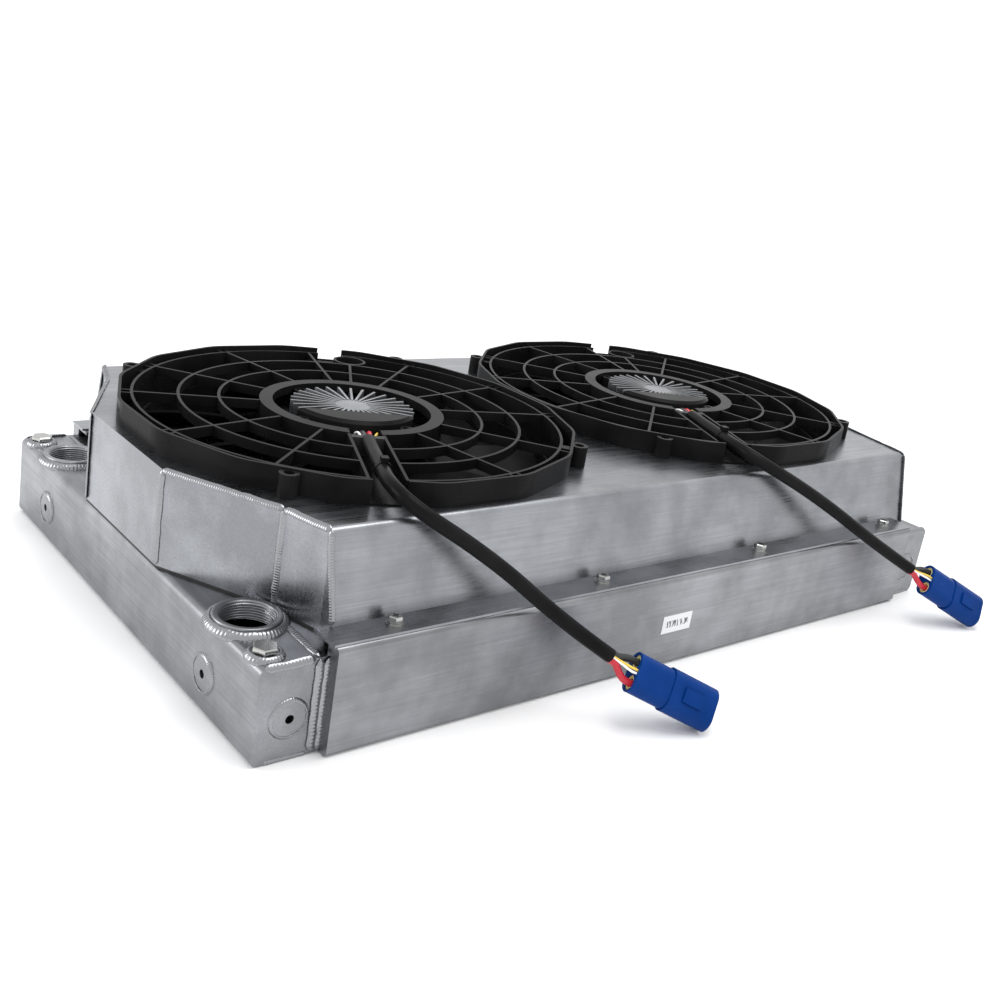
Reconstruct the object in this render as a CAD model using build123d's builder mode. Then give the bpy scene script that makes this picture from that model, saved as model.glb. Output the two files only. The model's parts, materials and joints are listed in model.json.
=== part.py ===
from build123d import *
import math
import os

# Twin-fan liquid cooling radiator, millimetres, +Z up.
# Origin: centre of the footprint at floor level. +X runs along the length.

# ---------------------------------------------------------------- core and tanks
overall_length = 838.0
tank_depth = 492.0
tank_width = 47.0
tank_height = 76.0
tank_wall = 3.0
tank_corner = 6.0

header_depth = 7.0
header_plate = 3.0
header_lip = 16.0

channel_rise = 10.0
channel_proud = 11.0
channel_sheet = 3.0
channel_leg = 35.0
channel_bend = 4.5
channel_return = 14.0

tube_count = 38
core_edge = 10.4
tube_thickness = 2.2
tube_width = 60.0
tube_wall = 0.4
tube_stub = 2.0
fin_sheet = 0.3
fin_pitch = 36.0
side_plate_sheet = 1.5

# ---------------------------------------------------------------- ports and bosses
port_offset_x = 25.0
port_inset = 68.0
port_outer_r = 26.0
port_bore_r = 20.0
port_proud = 6.0
port_spigot_r = 21.5
port_depth = 16.0
hole_gap = 0.3

bleed_offset_x = 13.0
bleed_inset = 18.0
bleed_boss_r = 11.0
bleed_boss_height = 2.5
bleed_bore_r = 5.0
plug_hex = 17.0
plug_hex_height = 5.0

boss_r = 14.0
boss_proud = 1.5
boss_hole_r = 3.4
boss_depth = 14.0
barrel_r = 8.0
boss_height_z = 33.0
end_boss_inset = 78.0
front_boss_offset_x = 26.5

# ---------------------------------------------------------------- shroud
shroud_sheet = 2.0
shroud_bend = 6.0
shroud_height = 71.0
top_inset = 32.0
foot_inset = 17.0
flange_reach = 8.0
flange_lap = 2.0
corner_inset_x = 64.0
knee_inset_x = 51.0
knee_inset = 77.0
end_half_width = 73.0
right_corner_inset_x = 33.0
seal_height = 2.0
seal_width = 4.0

screw_pitch = 213.0
screw_shift_x = 10.5
screw_inset = 4.5
screw_r = 3.0
screw_gap = 0.3
screw_head_af = 10.0
screw_head_height = 4.4
washer_r = 7.0
washer_height = 1.2
lock_r = 5.6
lock_height = 1.6
weld_nut_af = 11.0
weld_nut_height = 5.0

# ---------------------------------------------------------------- fans
fan_x = 206.0
throat_r = 192.5
throat_wall = 2.5
ring_top = 174.6
rim_top = 177.5
rim_r = 209.0
rim_wall = 2.6
rim_sides = 16
throat_bottom = 108.0
fan_flange = 2.5
opening_gap = 1.0
ear_x = 148.6
ear_r = 8.0
ear_top = 176.0
ear_hole_r = 4.4
ear_shank_r = 2.8
fan_screw_r = 2.5
fan_screw_head_r = 4.1
fan_screw_head = 5.0
ear_seat = 163.0
grille_bottom = 166.0
rib_width = 2.6
grille_radii = (119.8, 154.8)
hub_outer_r = 84.3
hub_inner_r = 72.5
hub_top = 175.0
hub_floor = 150.0
hub_floor_sheet = 3.0
hub_hole_r = 58.5
spoke_angles = (10.5, 40.0, 99.5, 131.0, 158.5, -169.0, -139.5, -80.0, -50.0, -17.5)
cable_angle = -114.0
trough_floor = 158.5
trough_floor_sheet = 2.5
trough_half = 14.0
trough_wall = 2.5
notch_angle = 65.0
notch_width = 26.0
duct_r = 17.0
lug_r = 65.5
lug_angle = 16.0
lug_outer_r = 6.5
lug_screw_r = 2.0
lug_head_r = 3.5
lug_head = 3.0

# ---------------------------------------------------------------- motor
sink_r = 56.5
sink_top = 176.0
sink_platform = 157.0
sink_flange_r = 70.0
sink_flange_bottom = 145.0
sink_fin = 2.2
sink_centre_r = 17.0
sink_fin_count = 30
cover_chord = 24.0
cover_r = 71.0
post_r = 14.0
post_bottom = 104.0
bearing_r = 11.0
bearing_width = 7.0
shaft_r = 4.0
shaft_gap = 0.03
board_r = 52.0
board_sheet = 1.6
board_top = 141.6
stator_r = 38.0
stator_bottom = 112.0
stator_top = 128.0
tooth_count = 12
magnet_inner_r = 40.5
can_inner_r = 43.5
can_outer_r = 46.0
can_top = 134.0
can_floor = 100.5
can_floor_sheet = 3.0

# ---------------------------------------------------------------- rotor
rotor_hub_r = 76.0
rotor_wall = 2.5
rotor_top = 145.5
rotor_floor = 97.5
blade_count = 9
blade_tip_r = 186.0
band_r = 188.5
band_wall = 2.5
band_bottom = 114.0
band_top = 145.0
blade_sheet = 2.4

# ---------------------------------------------------------------- leads and plugs
lead_d = 12.0
lead_z = 172.5
gland_r = 88.0
gland_length = 7.0
plug_wide = 37.0
plug_thick = 22.0
plug_rear_wide = 34.0
plug_rear_thick = 20.0
hood_length = 40.0
rear_length = 36.0
cavity_r = 6.4
cavity_depth = 12.0
wire_r = 3.0
thin_wire_r = 1.0
tip_gap = 0.05

# ---------------------------------------------------------------- derived
half_length = overall_length / 2
half_depth = tank_depth / 2
header_face = half_length - tank_width - header_depth
core_z = tank_height / 2
channel_height = tank_height + channel_rise
shroud_top = channel_height + shroud_height
port_y = half_depth - port_inset
bleed_y = half_depth - bleed_inset
end_boss_y = half_depth - end_boss_inset
screw_y = half_depth - screw_inset
top_half_depth = half_depth - top_inset
foot_half_depth = half_depth - foot_inset
flange_half_depth = half_depth + flange_reach
flange_half_length = header_face + flange_lap
corner_x = half_length - corner_inset_x
knee_x = half_length - knee_inset_x
knee_y = half_depth - knee_inset
right_corner_x = half_length - right_corner_inset_x
tube_pitch = (tank_depth - 2 * core_edge) / tube_count
core_top = core_z + tube_width / 2
core_bottom = core_z - tube_width / 2
fin_height = tube_pitch - tube_thickness
core_half_depth = tube_count * tube_pitch / 2 + fin_height / 2
channel_face = half_depth + channel_proud
left_port_x = -half_length + port_offset_x
screw_xs = [(i - 1.5) * screw_pitch + screw_shift_x for i in range(4)]
throat_outer_r = throat_r + throat_wall
opening_r = throat_outer_r + opening_gap
os.makedirs("parts", exist_ok=True)


def place(block, x, label):
    """Move a sub-part built on the origin to its fan's centre and name it."""
    moved = block.part.moved(Location((x, 0, 0)))
    moved.label = label
    return moved


# ================================================================ tanks
def tank_shell(side):
    """Folded sheet of one tank: top, outer side and bottom, open towards the core."""
    middle = side * (half_length - tank_width / 2)
    with BuildPart() as shell:
        with BuildSketch(Plane.XZ.offset(-half_depth + tank_wall)):
            with Locations((middle, tank_height / 2)):
                Rectangle(tank_width, tank_height)
            outer = vertices().sort_by(Axis.X)
            fillet(outer[-2:] if side > 0 else outer[:2], tank_corner)
            with Locations((middle - side * tank_wall, tank_height / 2)):
                Rectangle(tank_width, tank_height - 2 * tank_wall, mode=Mode.SUBTRACT)
        extrude(amount=tank_depth - 2 * tank_wall)
        if side < 0:
            with BuildSketch(Plane.XY.offset(tank_height - tank_wall)):
                with Locations((left_port_x, -port_y), (left_port_x, port_y)):
                    Circle(port_spigot_r + hole_gap)
            extrude(amount=tank_wall, mode=Mode.SUBTRACT)
            bleed_x = -half_length + bleed_offset_x
            with BuildSketch(Plane.XY.offset(tank_height - tank_wall)):
                with Locations((bleed_x, -bleed_y), (bleed_x, bleed_y)):
                    Circle(bleed_bore_r)
            extrude(amount=tank_wall, mode=Mode.SUBTRACT)
        pad = Plane(origin=(side * half_length, 0, boss_height_z),
                    x_dir=(0, 1, 0), z_dir=(side, 0, 0))
        with BuildSketch(pad):
            with Locations((-end_boss_y, 0), (end_boss_y, 0)):
                Circle(barrel_r + hole_gap)
        extrude(amount=-tank_wall, mode=Mode.SUBTRACT)
    return shell


left_tank = tank_shell(-1)
left_tank.part.label = "left_tank"
export_step(left_tank.part, "parts/left_tank.step")

right_tank = tank_shell(1)
right_tank.part.label = "right_tank"
export_step(right_tank.part, "parts/right_tank.step")


def tank_caps(side):
    """The two flat plates that close the ends of one tank."""
    middle = side * (half_length - tank_width / 2)
    with BuildPart() as caps:
        for start in (-half_depth, half_depth - tank_wall):
            with BuildSketch(Plane.XZ.offset(-start - tank_wall)):
                with Locations((middle, tank_height / 2)):
                    Rectangle(tank_width, tank_height)
                outer = vertices().sort_by(Axis.X)
                fillet(outer[-2:] if side > 0 else outer[:2], tank_corner)
            extrude(amount=tank_wall)
            with BuildSketch(Plane.XZ.offset(-start - tank_wall)):
                with Locations((side * (half_length - front_boss_offset_x), boss_height_z)):
                    Circle(barrel_r + hole_gap)
            extrude(amount=tank_wall, mode=Mode.SUBTRACT)
    return caps


left_tank_caps = tank_caps(-1)
left_tank_caps.part.label = "left_tank_caps"
export_step(left_tank_caps.part, "parts/left_tank_caps.step")

right_tank_caps = tank_caps(1)
right_tank_caps.part.label = "right_tank_caps"
export_step(right_tank_caps.part, "parts/right_tank_caps.step")


def header_pan(side):
    """Shallow pan between a tank and the core, slotted for the tubes."""
    pan_x = side * (header_face + header_depth / 2)
    hollow = header_depth - header_plate
    with BuildPart() as pan:
        with Locations((pan_x, 0, tank_height / 2)):
            Box(header_depth, tank_depth, tank_height)
        with Locations((side * (header_face + header_plate + hollow / 2), 0, tank_height / 2)):
            Box(hollow, tank_depth - 2 * tank_wall, tank_height - 2 * tank_wall,
                mode=Mode.SUBTRACT)
        with Locations((side * (header_face + header_plate / 2), 0, core_z)):
            with GridLocations(1, tube_pitch, 1, tube_count):
                Box(header_plate, tube_thickness, tube_width, mode=Mode.SUBTRACT)
        # top lip over the core's end
        lip_x = side * (header_face - header_lip / 2 + header_plate / 2)
        with Locations((lip_x, 0, tank_height - tank_wall / 2)):
            Box(header_lip + header_plate, 2 * core_half_depth - 4.0, tank_wall)
    return pan


left_header = header_pan(-1)
left_header.part.label = "left_header"
export_step(left_header.part, "parts/left_header.step")

right_header = header_pan(1)
right_header.part.label = "right_header"
export_step(right_header.part, "parts/right_header.step")

# Divider that sends the coolant along the front half of the core and back along the rear half.
with BuildPart() as tank_baffle:
    with Locations((-half_length + tank_width / 2 + tank_wall / 2, 0, tank_height / 2)):
        Box(tank_width - tank_wall, tank_wall, tank_height - 2 * tank_wall)
tank_baffle.part.label = "tank_baffle"
export_step(tank_baffle.part, "parts/tank_baffle.step")

# ================================================================ core
with BuildPart() as core_tubes:
    tube_length = 2 * (header_face + header_plate + tube_stub)
    with Locations((0, 0, core_z)):
        with GridLocations(1, tube_pitch, 1, tube_count):
            Box(tube_length, tube_thickness, tube_width)
            Box(tube_length, tube_thickness - 2 * tube_wall, tube_width - 2 * tube_wall,
                mode=Mode.SUBTRACT)
core_tubes.part.label = "core_tubes"
export_step(core_tubes.part, "parts/core_tubes.step")


def strip_outline(points, half):
    """Outline of a strip of constant thickness along a path of right-angle turns."""
    steps = [(b[0] - a[0], b[1] - a[1]) for a, b in zip(points, points[1:])]
    units = [(dx / math.hypot(dx, dy), dy / math.hypot(dx, dy)) for dx, dy in steps]
    normals = [(-uy, ux) for ux, uy in units]
    left = []
    right = []
    for i, (px, py) in enumerate(points):
        near = [normals[max(i - 1, 0)], normals[min(i, len(normals) - 1)]]
        if near[0] == near[1]:
            near = near[:1]
        nx = sum(n[0] for n in near)
        ny = sum(n[1] for n in near)
        left.append((px + half * nx, py + half * ny))
        right.append((px - half * nx, py - half * ny))
    return left + right[::-1]


def fin_path():
    """Centreline of one folded fin: webs across the gap joined by flats on the tubes."""
    count = int((2 * header_face - fin_sheet) // fin_pitch)
    reach = fin_height / 2 - fin_sheet / 2
    start = -count * fin_pitch / 2
    path = []
    for i in range(count + 1):
        sign = 1 if i % 2 else -1
        path.append((start + i * fin_pitch, sign * reach))
        path.append((start + i * fin_pitch, -sign * reach))
    return path


with BuildPart() as core_fins:
    with BuildSketch(Plane.XY.offset(core_bottom)):
        with GridLocations(1, tube_pitch, 1, tube_count + 1):
            Polygon(*strip_outline(fin_path(), fin_sheet / 2), align=None)
    extrude(amount=tube_width)
core_fins.part.label = "core_fins"
export_step(core_fins.part, "parts/core_fins.step")

with BuildPart() as core_side_plates:
    plate_y = core_half_depth + side_plate_sheet / 2
    with Locations((0, -plate_y, core_z), (0, plate_y, core_z)):
        Box(2 * header_face, side_plate_sheet, tube_width)
core_side_plates.part.label = "core_side_plates"
export_step(core_side_plates.part, "parts/core_side_plates.step")


# ================================================================ side channels
def side_channel(side):
    """Bent sheet channel along one side, legs over and under the core, ends returned."""
    depth = channel_leg
    inner = depth - channel_sheet
    weld_nuts_y = side * screw_y
    with BuildPart() as channel:
        with Locations((0, side * (channel_face - depth / 2), channel_height / 2)):
            Box(2 * header_face, depth, channel_height)
        long_edges = edges().filter_by(Axis.X).group_by(Axis.Y)[-1 if side > 0 else 0]
        fillet(long_edges, channel_bend)
        with Locations((0, side * (channel_face - channel_sheet - inner / 2),
                        channel_height / 2)):
            Box(2 * (header_face - channel_sheet), inner,
                channel_height - 2 * channel_sheet, mode=Mode.SUBTRACT)
        open_depth = depth - channel_return
        with Locations((0, side * (channel_face - channel_return - open_depth / 2),
                        channel_height / 2)):
            Box(2 * header_face, open_depth, channel_height - 2 * channel_sheet,
                mode=Mode.SUBTRACT)
        with BuildSketch(Plane.XY.offset(channel_height - channel_sheet)):
            with Locations(*[(x, weld_nuts_y) for x in screw_xs]):
                Circle(screw_r + screw_gap)
        extrude(amount=channel_sheet, mode=Mode.SUBTRACT)
    return channel


front_side_channel = side_channel(-1)
front_side_channel.part.label = "front_side_channel"
export_step(front_side_channel.part, "parts/front_side_channel.step")

rear_side_channel = side_channel(1)
rear_side_channel.part.label = "rear_side_channel"
export_step(rear_side_channel.part, "parts/rear_side_channel.step")


# ================================================================ ports, bosses, plugs
def port_bung(y):
    """Threaded weld bung: collar on the tank top and a spigot down through it."""
    with BuildPart() as bung:
        with BuildSketch(Plane.XY.offset(tank_height)):
            with Locations((left_port_x, y)):
                Circle(port_outer_r)
        extrude(amount=port_proud)
        rim = edges().filter_by(GeomType.CIRCLE).sort_by(Axis.Z)[-1]
        chamfer(rim, 1.0)
        with BuildSketch(Plane.XY.offset(tank_height)):
            with Locations((left_port_x, y)):
                Circle(port_spigot_r)
        extrude(amount=-(port_depth - port_proud))
        with BuildSketch(Plane.XY.offset(tank_height + port_proud)):
            with Locations((left_port_x, y)):
                Circle(port_bore_r)
        extrude(amount=-port_depth, mode=Mode.SUBTRACT)
    return bung


inlet_port = port_bung(-port_y)
inlet_port.part.label = "inlet_port"
export_step(inlet_port.part, "parts/inlet_port.step")

outlet_port = port_bung(port_y)
outlet_port.part.label = "outlet_port"
export_step(outlet_port.part, "parts/outlet_port.step")

bleed_x = -half_length + bleed_offset_x
bleed_points = [(bleed_x, -bleed_y), (bleed_x, bleed_y)]

with BuildPart() as bleed_bungs:
    with BuildSketch(Plane.XY.offset(tank_height)):
        with Locations(*bleed_points):
            Circle(bleed_boss_r)
            Circle(bleed_bore_r, mode=Mode.SUBTRACT)
    extrude(amount=bleed_boss_height)
bleed_bungs.part.label = "bleed_bungs"
export_step(bleed_bungs.part, "parts/bleed_bungs.step")

with BuildPart() as bleed_plugs:
    with BuildSketch(Plane.XY.offset(tank_height + bleed_boss_height)):
        with Locations(*bleed_points):
            RegularPolygon(plug_hex / 2, 6, major_radius=False)
    extrude(amount=plug_hex_height)
    chamfer(faces().group_by(Axis.Z)[-1].edges(), 0.8)
    with BuildSketch(Plane.XY.offset(tank_height + bleed_boss_height)):
        with Locations(*bleed_points):
            Circle(bleed_bore_r - hole_gap)
    extrude(amount=-(bleed_boss_height + tank_wall))
bleed_plugs.part.label = "bleed_plugs"
export_step(bleed_plugs.part, "parts/bleed_plugs.step")

# Threaded mounting bosses: round pads on the tanks with a barrel through the wall.
with BuildPart() as mount_bosses:
    boss_x = half_length - front_boss_offset_x
    pads = []
    for side in (-1, 1):
        for y in (-end_boss_y, end_boss_y):
            pads.append(Plane(origin=(side * half_length, y, boss_height_z),
                              x_dir=(0, 1, 0), z_dir=(side, 0, 0)))
        for end in (-1, 1):
            pads.append(Plane(origin=(side * boss_x, end * half_depth, boss_height_z),
                              x_dir=(1, 0, 0), z_dir=(0, end, 0)))
    for pad in pads:
        with BuildSketch(pad):
            Circle(boss_r)
        extrude(amount=boss_proud)
        with BuildSketch(pad):
            Circle(barrel_r)
        extrude(amount=-boss_depth)
        with BuildSketch(pad.offset(boss_proud)):
            Circle(boss_hole_r)
        extrude(amount=-boss_depth, mode=Mode.SUBTRACT)
mount_bosses.part.label = "mount_bosses"
export_step(mount_bosses.part, "parts/mount_bosses.step")

# ================================================================ shroud
wall_drop = shroud_top - channel_height - seal_height
wall_run = foot_half_depth - top_half_depth
lean = math.hypot(wall_drop, wall_run)
lean_normal_y = wall_drop / lean
lean_normal_z = wall_run / lean
wall_bottom = tank_height + seal_height
foot_z = channel_height + shroud_sheet


def outline_solid(inset):
    """Solid under the shroud's top outline, drawn in by inset, with leaning long walls."""
    top = shroud_top - inset
    left = [(-corner_x + inset, -foot_half_depth - 20), (-corner_x + inset, -top_half_depth),
            (-knee_x + inset, -knee_y), (-half_length + inset, -end_half_width),
            (-half_length + inset, end_half_width), (-knee_x + inset, knee_y),
            (-corner_x + inset, top_half_depth), (-corner_x + inset, foot_half_depth + 20)]
    right = [(right_corner_x - inset, foot_half_depth + 20),
             (right_corner_x - inset, top_half_depth),
             (half_length - inset, end_half_width), (half_length - inset, -end_half_width),
             (right_corner_x - inset, -top_half_depth),
             (right_corner_x - inset, -foot_half_depth - 20)]
    with BuildPart() as solid:
        with BuildSketch(Plane.XY.offset(wall_bottom)):
            Polygon(*(left + right), align=None)
        extrude(amount=top - wall_bottom)
        for side in (-1, 1):
            origin = (0, side * top_half_depth, shroud_top)
            normal = (0, side * lean_normal_y, lean_normal_z)
            cut = Plane(origin=origin, x_dir=(1, 0, 0), z_dir=normal).offset(-inset)
            split(bisect_by=cut, keep=Keep.BOTTOM)
        long_edges = edges().filter_by(Axis.X).group_by(Axis.Z)[-1]
        fillet(long_edges, shroud_bend - inset)
    return solid


shroud_outer = outline_solid(0)
shroud_inner = outline_solid(shroud_sheet)

with BuildPart() as shroud_shell:
    add(shroud_outer.part)
    add(shroud_inner.part, mode=Mode.SUBTRACT)
    # room for the side channels' top legs
    leg_edge = channel_face - channel_leg - 0.5
    leg_room = half_depth + 30 - leg_edge
    with Locations((0, -leg_edge - leg_room / 2, (wall_bottom + channel_height) / 2),
                   (0, leg_edge + leg_room / 2, (wall_bottom + channel_height) / 2)):
        Box(2 * header_face + 2, leg_room, channel_height - wall_bottom,
            mode=Mode.SUBTRACT)

# One bent panel: long walls, flanges, top plate with the fan openings.
with BuildPart() as shroud_panel:
    add(shroud_shell.part)
    for side in (-1, 1):
        end_box_x = side * (corner_x if side < 0 else right_corner_x)
        cut_from = end_box_x + (shroud_sheet if side < 0 else -shroud_sheet)
        cut_span = 120.0
        with Locations((cut_from + side * cut_span / 2, 0,
                        (wall_bottom + shroud_top - shroud_sheet) / 2)):
            Box(cut_span, 2 * (half_depth + 30), shroud_top - shroud_sheet - wall_bottom,
                mode=Mode.SUBTRACT)
    flange_in = foot_half_depth - shroud_sheet + 0.4
    flange_mid = (flange_half_depth + flange_in) / 2
    with Locations((0, -flange_mid, channel_height + shroud_sheet / 2),
                   (0, flange_mid, channel_height + shroud_sheet / 2)):
        Box(2 * flange_half_length, flange_half_depth - flange_in, shroud_sheet)
    with BuildSketch(Plane.XY.offset(shroud_top - shroud_sheet)):
        with Locations((-fan_x, 0), (fan_x, 0)):
            Circle(opening_r)
        for fan_centre in (-fan_x, fan_x):
            with Locations((fan_centre, 0)):
                with GridLocations(2 * ear_x, 2 * ear_x, 2, 2):
                    Circle(ear_shank_r)
    extrude(amount=shroud_sheet, mode=Mode.SUBTRACT)
    with BuildSketch(Plane.XY.offset(channel_height)):
        with Locations(*[(x, s * screw_y) for x in screw_xs for s in (-1, 1)]):
            Circle(screw_r + screw_gap)
    extrude(amount=shroud_sheet, mode=Mode.SUBTRACT)
shroud_panel.part.label = "shroud_panel"
export_step(shroud_panel.part, "parts/shroud_panel.step")


def shroud_end(side):
    """Welded end wall of the shroud under one end of the top plate."""
    cut_from = -corner_x + shroud_sheet if side < 0 else right_corner_x - shroud_sheet
    span = 120.0
    with BuildPart() as wall:
        with Locations((cut_from + side * span / 2, 0,
                        (wall_bottom + shroud_top - shroud_sheet) / 2)):
            Box(span, 2 * (half_depth + 30), shroud_top - shroud_sheet - wall_bottom)
        add(shroud_shell.part, mode=Mode.INTERSECT)
        # room for the panel's flanges
        reach = half_depth + 30 - flange_in
        with Locations((0, -flange_in - reach / 2, channel_height + shroud_sheet / 2),
                       (0, flange_in + reach / 2, channel_height + shroud_sheet / 2)):
            Box(2 * flange_half_length, reach, shroud_sheet, mode=Mode.SUBTRACT)
    return wall


shroud_left_end = shroud_end(-1)
shroud_left_end.part.label = "shroud_left_end"
export_step(shroud_left_end.part, "parts/shroud_left_end.step")

shroud_right_end = shroud_end(1)
shroud_right_end.part.label = "shroud_right_end"
export_step(shroud_right_end.part, "parts/shroud_right_end.step")

# Thin rubber strip between the end walls and the tanks.
with BuildPart() as shroud_seal:
    for side in (-1, 1):
        if side < 0:
            path = [(-corner_x, -top_half_depth), (-knee_x, -knee_y),
                    (-half_length, -end_half_width), (-half_length, end_half_width),
                    (-knee_x, knee_y), (-corner_x, top_half_depth)]
        else:
            path = [(right_corner_x, -top_half_depth), (half_length, -end_half_width),
                    (half_length, end_half_width), (right_corner_x, top_half_depth)]
        inner_path = [(x - side * seal_width, y) for x, y in path]
        with BuildSketch(Plane.XY.offset(tank_height)):
            Polygon(*(path + inner_path[::-1]), align=None)
        extrude(amount=seal_height)
    with Locations((0, 0, tank_height + seal_height / 2)):
        Box(2 * (header_face - header_lip), 2 * half_depth, seal_height, mode=Mode.SUBTRACT)
shroud_seal.part.label = "shroud_seal"
export_step(shroud_seal.part, "parts/shroud_seal.step")

# ================================================================ shroud fasteners
screw_points = [(x, s * screw_y) for x in screw_xs for s in (-1, 1)]
washer_z = channel_height + shroud_sheet
lock_z = washer_z + washer_height
head_z = lock_z + lock_height
nut_z = channel_height - channel_sheet

with BuildPart() as shroud_washers:
    with BuildSketch(Plane.XY.offset(washer_z)):
        with Locations(*screw_points):
            Circle(washer_r)
            Circle(screw_r + screw_gap, mode=Mode.SUBTRACT)
    extrude(amount=washer_height)
shroud_washers.part.label = "shroud_washers"
export_step(shroud_washers.part, "parts/shroud_washers.step")

with BuildPart() as shroud_lock_washers:
    with BuildSketch(Plane.XY.offset(lock_z)):
        with Locations(*screw_points):
            Circle(lock_r)
            Circle(screw_r + screw_gap, mode=Mode.SUBTRACT)
    extrude(amount=lock_height)
shroud_lock_washers.part.label = "shroud_lock_washers"
export_step(shroud_lock_washers.part, "parts/shroud_lock_washers.step")

with BuildPart() as shroud_screws:
    with BuildSketch(Plane.XY.offset(head_z)):
        with Locations(*screw_points):
            RegularPolygon(screw_head_af / 2, 6, major_radius=False)
    extrude(amount=screw_head_height)
    chamfer(faces().group_by(Axis.Z)[-1].edges(), 0.6)
    with BuildSketch(Plane.XY.offset(head_z)):
        with Locations(*screw_points):
            Circle(screw_r)
    extrude(amount=-(head_z - nut_z + weld_nut_height))
    # cross recess in each head
    with BuildSketch(Plane.XY.offset(head_z + screw_head_height)):
        with Locations(*screw_points):
            Rectangle(screw_head_af * 0.55, 1.2)
            Rectangle(1.2, screw_head_af * 0.55)
    extrude(amount=-1.6, mode=Mode.SUBTRACT)
shroud_screws.part.label = "shroud_screws"
export_step(shroud_screws.part, "parts/shroud_screws.step")

with BuildPart() as weld_nuts:
    with BuildSketch(Plane.XY.offset(nut_z)):
        with Locations(*screw_points):
            RegularPolygon(weld_nut_af / 2, 6, major_radius=False)
            Circle(screw_r + screw_gap, mode=Mode.SUBTRACT)
    extrude(amount=-weld_nut_height)
weld_nuts.part.label = "weld_nuts"
export_step(weld_nuts.part, "parts/weld_nuts.step")

# ================================================================ fan housings
def polar_xy(radius, degrees):
    """Point at a radius and angle in the plan view."""
    return (radius * math.cos(math.radians(degrees)), radius * math.sin(math.radians(degrees)))


def radial_bar(start_r, end_r, width, angle, low, high):
    """Straight bar pointing outwards from the fan's axis, at the current block's level."""
    middle = (start_r + end_r) / 2
    x, y = polar_xy(middle, angle)
    with Locations(Location((x, y, (low + high) / 2), (0, 0, angle))):
        Box(end_r - start_r, width, high - low)


def ring(outer, inner, low, high):
    """Plain ring about the fan's axis, added to the current block."""
    height = high - low
    disc = Cylinder(outer, height, mode=Mode.PRIVATE)
    hole = Cylinder(inner, height, mode=Mode.PRIVATE)
    add((disc - hole).moved(Location((0, 0, low + height / 2))))


fan_plate = shroud_top
rim_flat_r = rim_r * math.cos(math.pi / rim_sides)


def rim_solid(inset, low, high):
    """Many-sided disc with rounded corners, drawn in by inset."""
    with BuildPart() as disc:
        with BuildSketch(Plane.XY.offset(low)):
            RegularPolygon(rim_flat_r - inset, rim_sides, major_radius=False, rotation=11.25)
            fillet(vertices(), 60.0)
        extrude(amount=high - low)
    return disc.part


rim_outer = rim_solid(0, fan_plate, rim_top)
rim_inner = rim_solid(rim_wall, fan_plate + fan_flange, rim_top)

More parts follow.
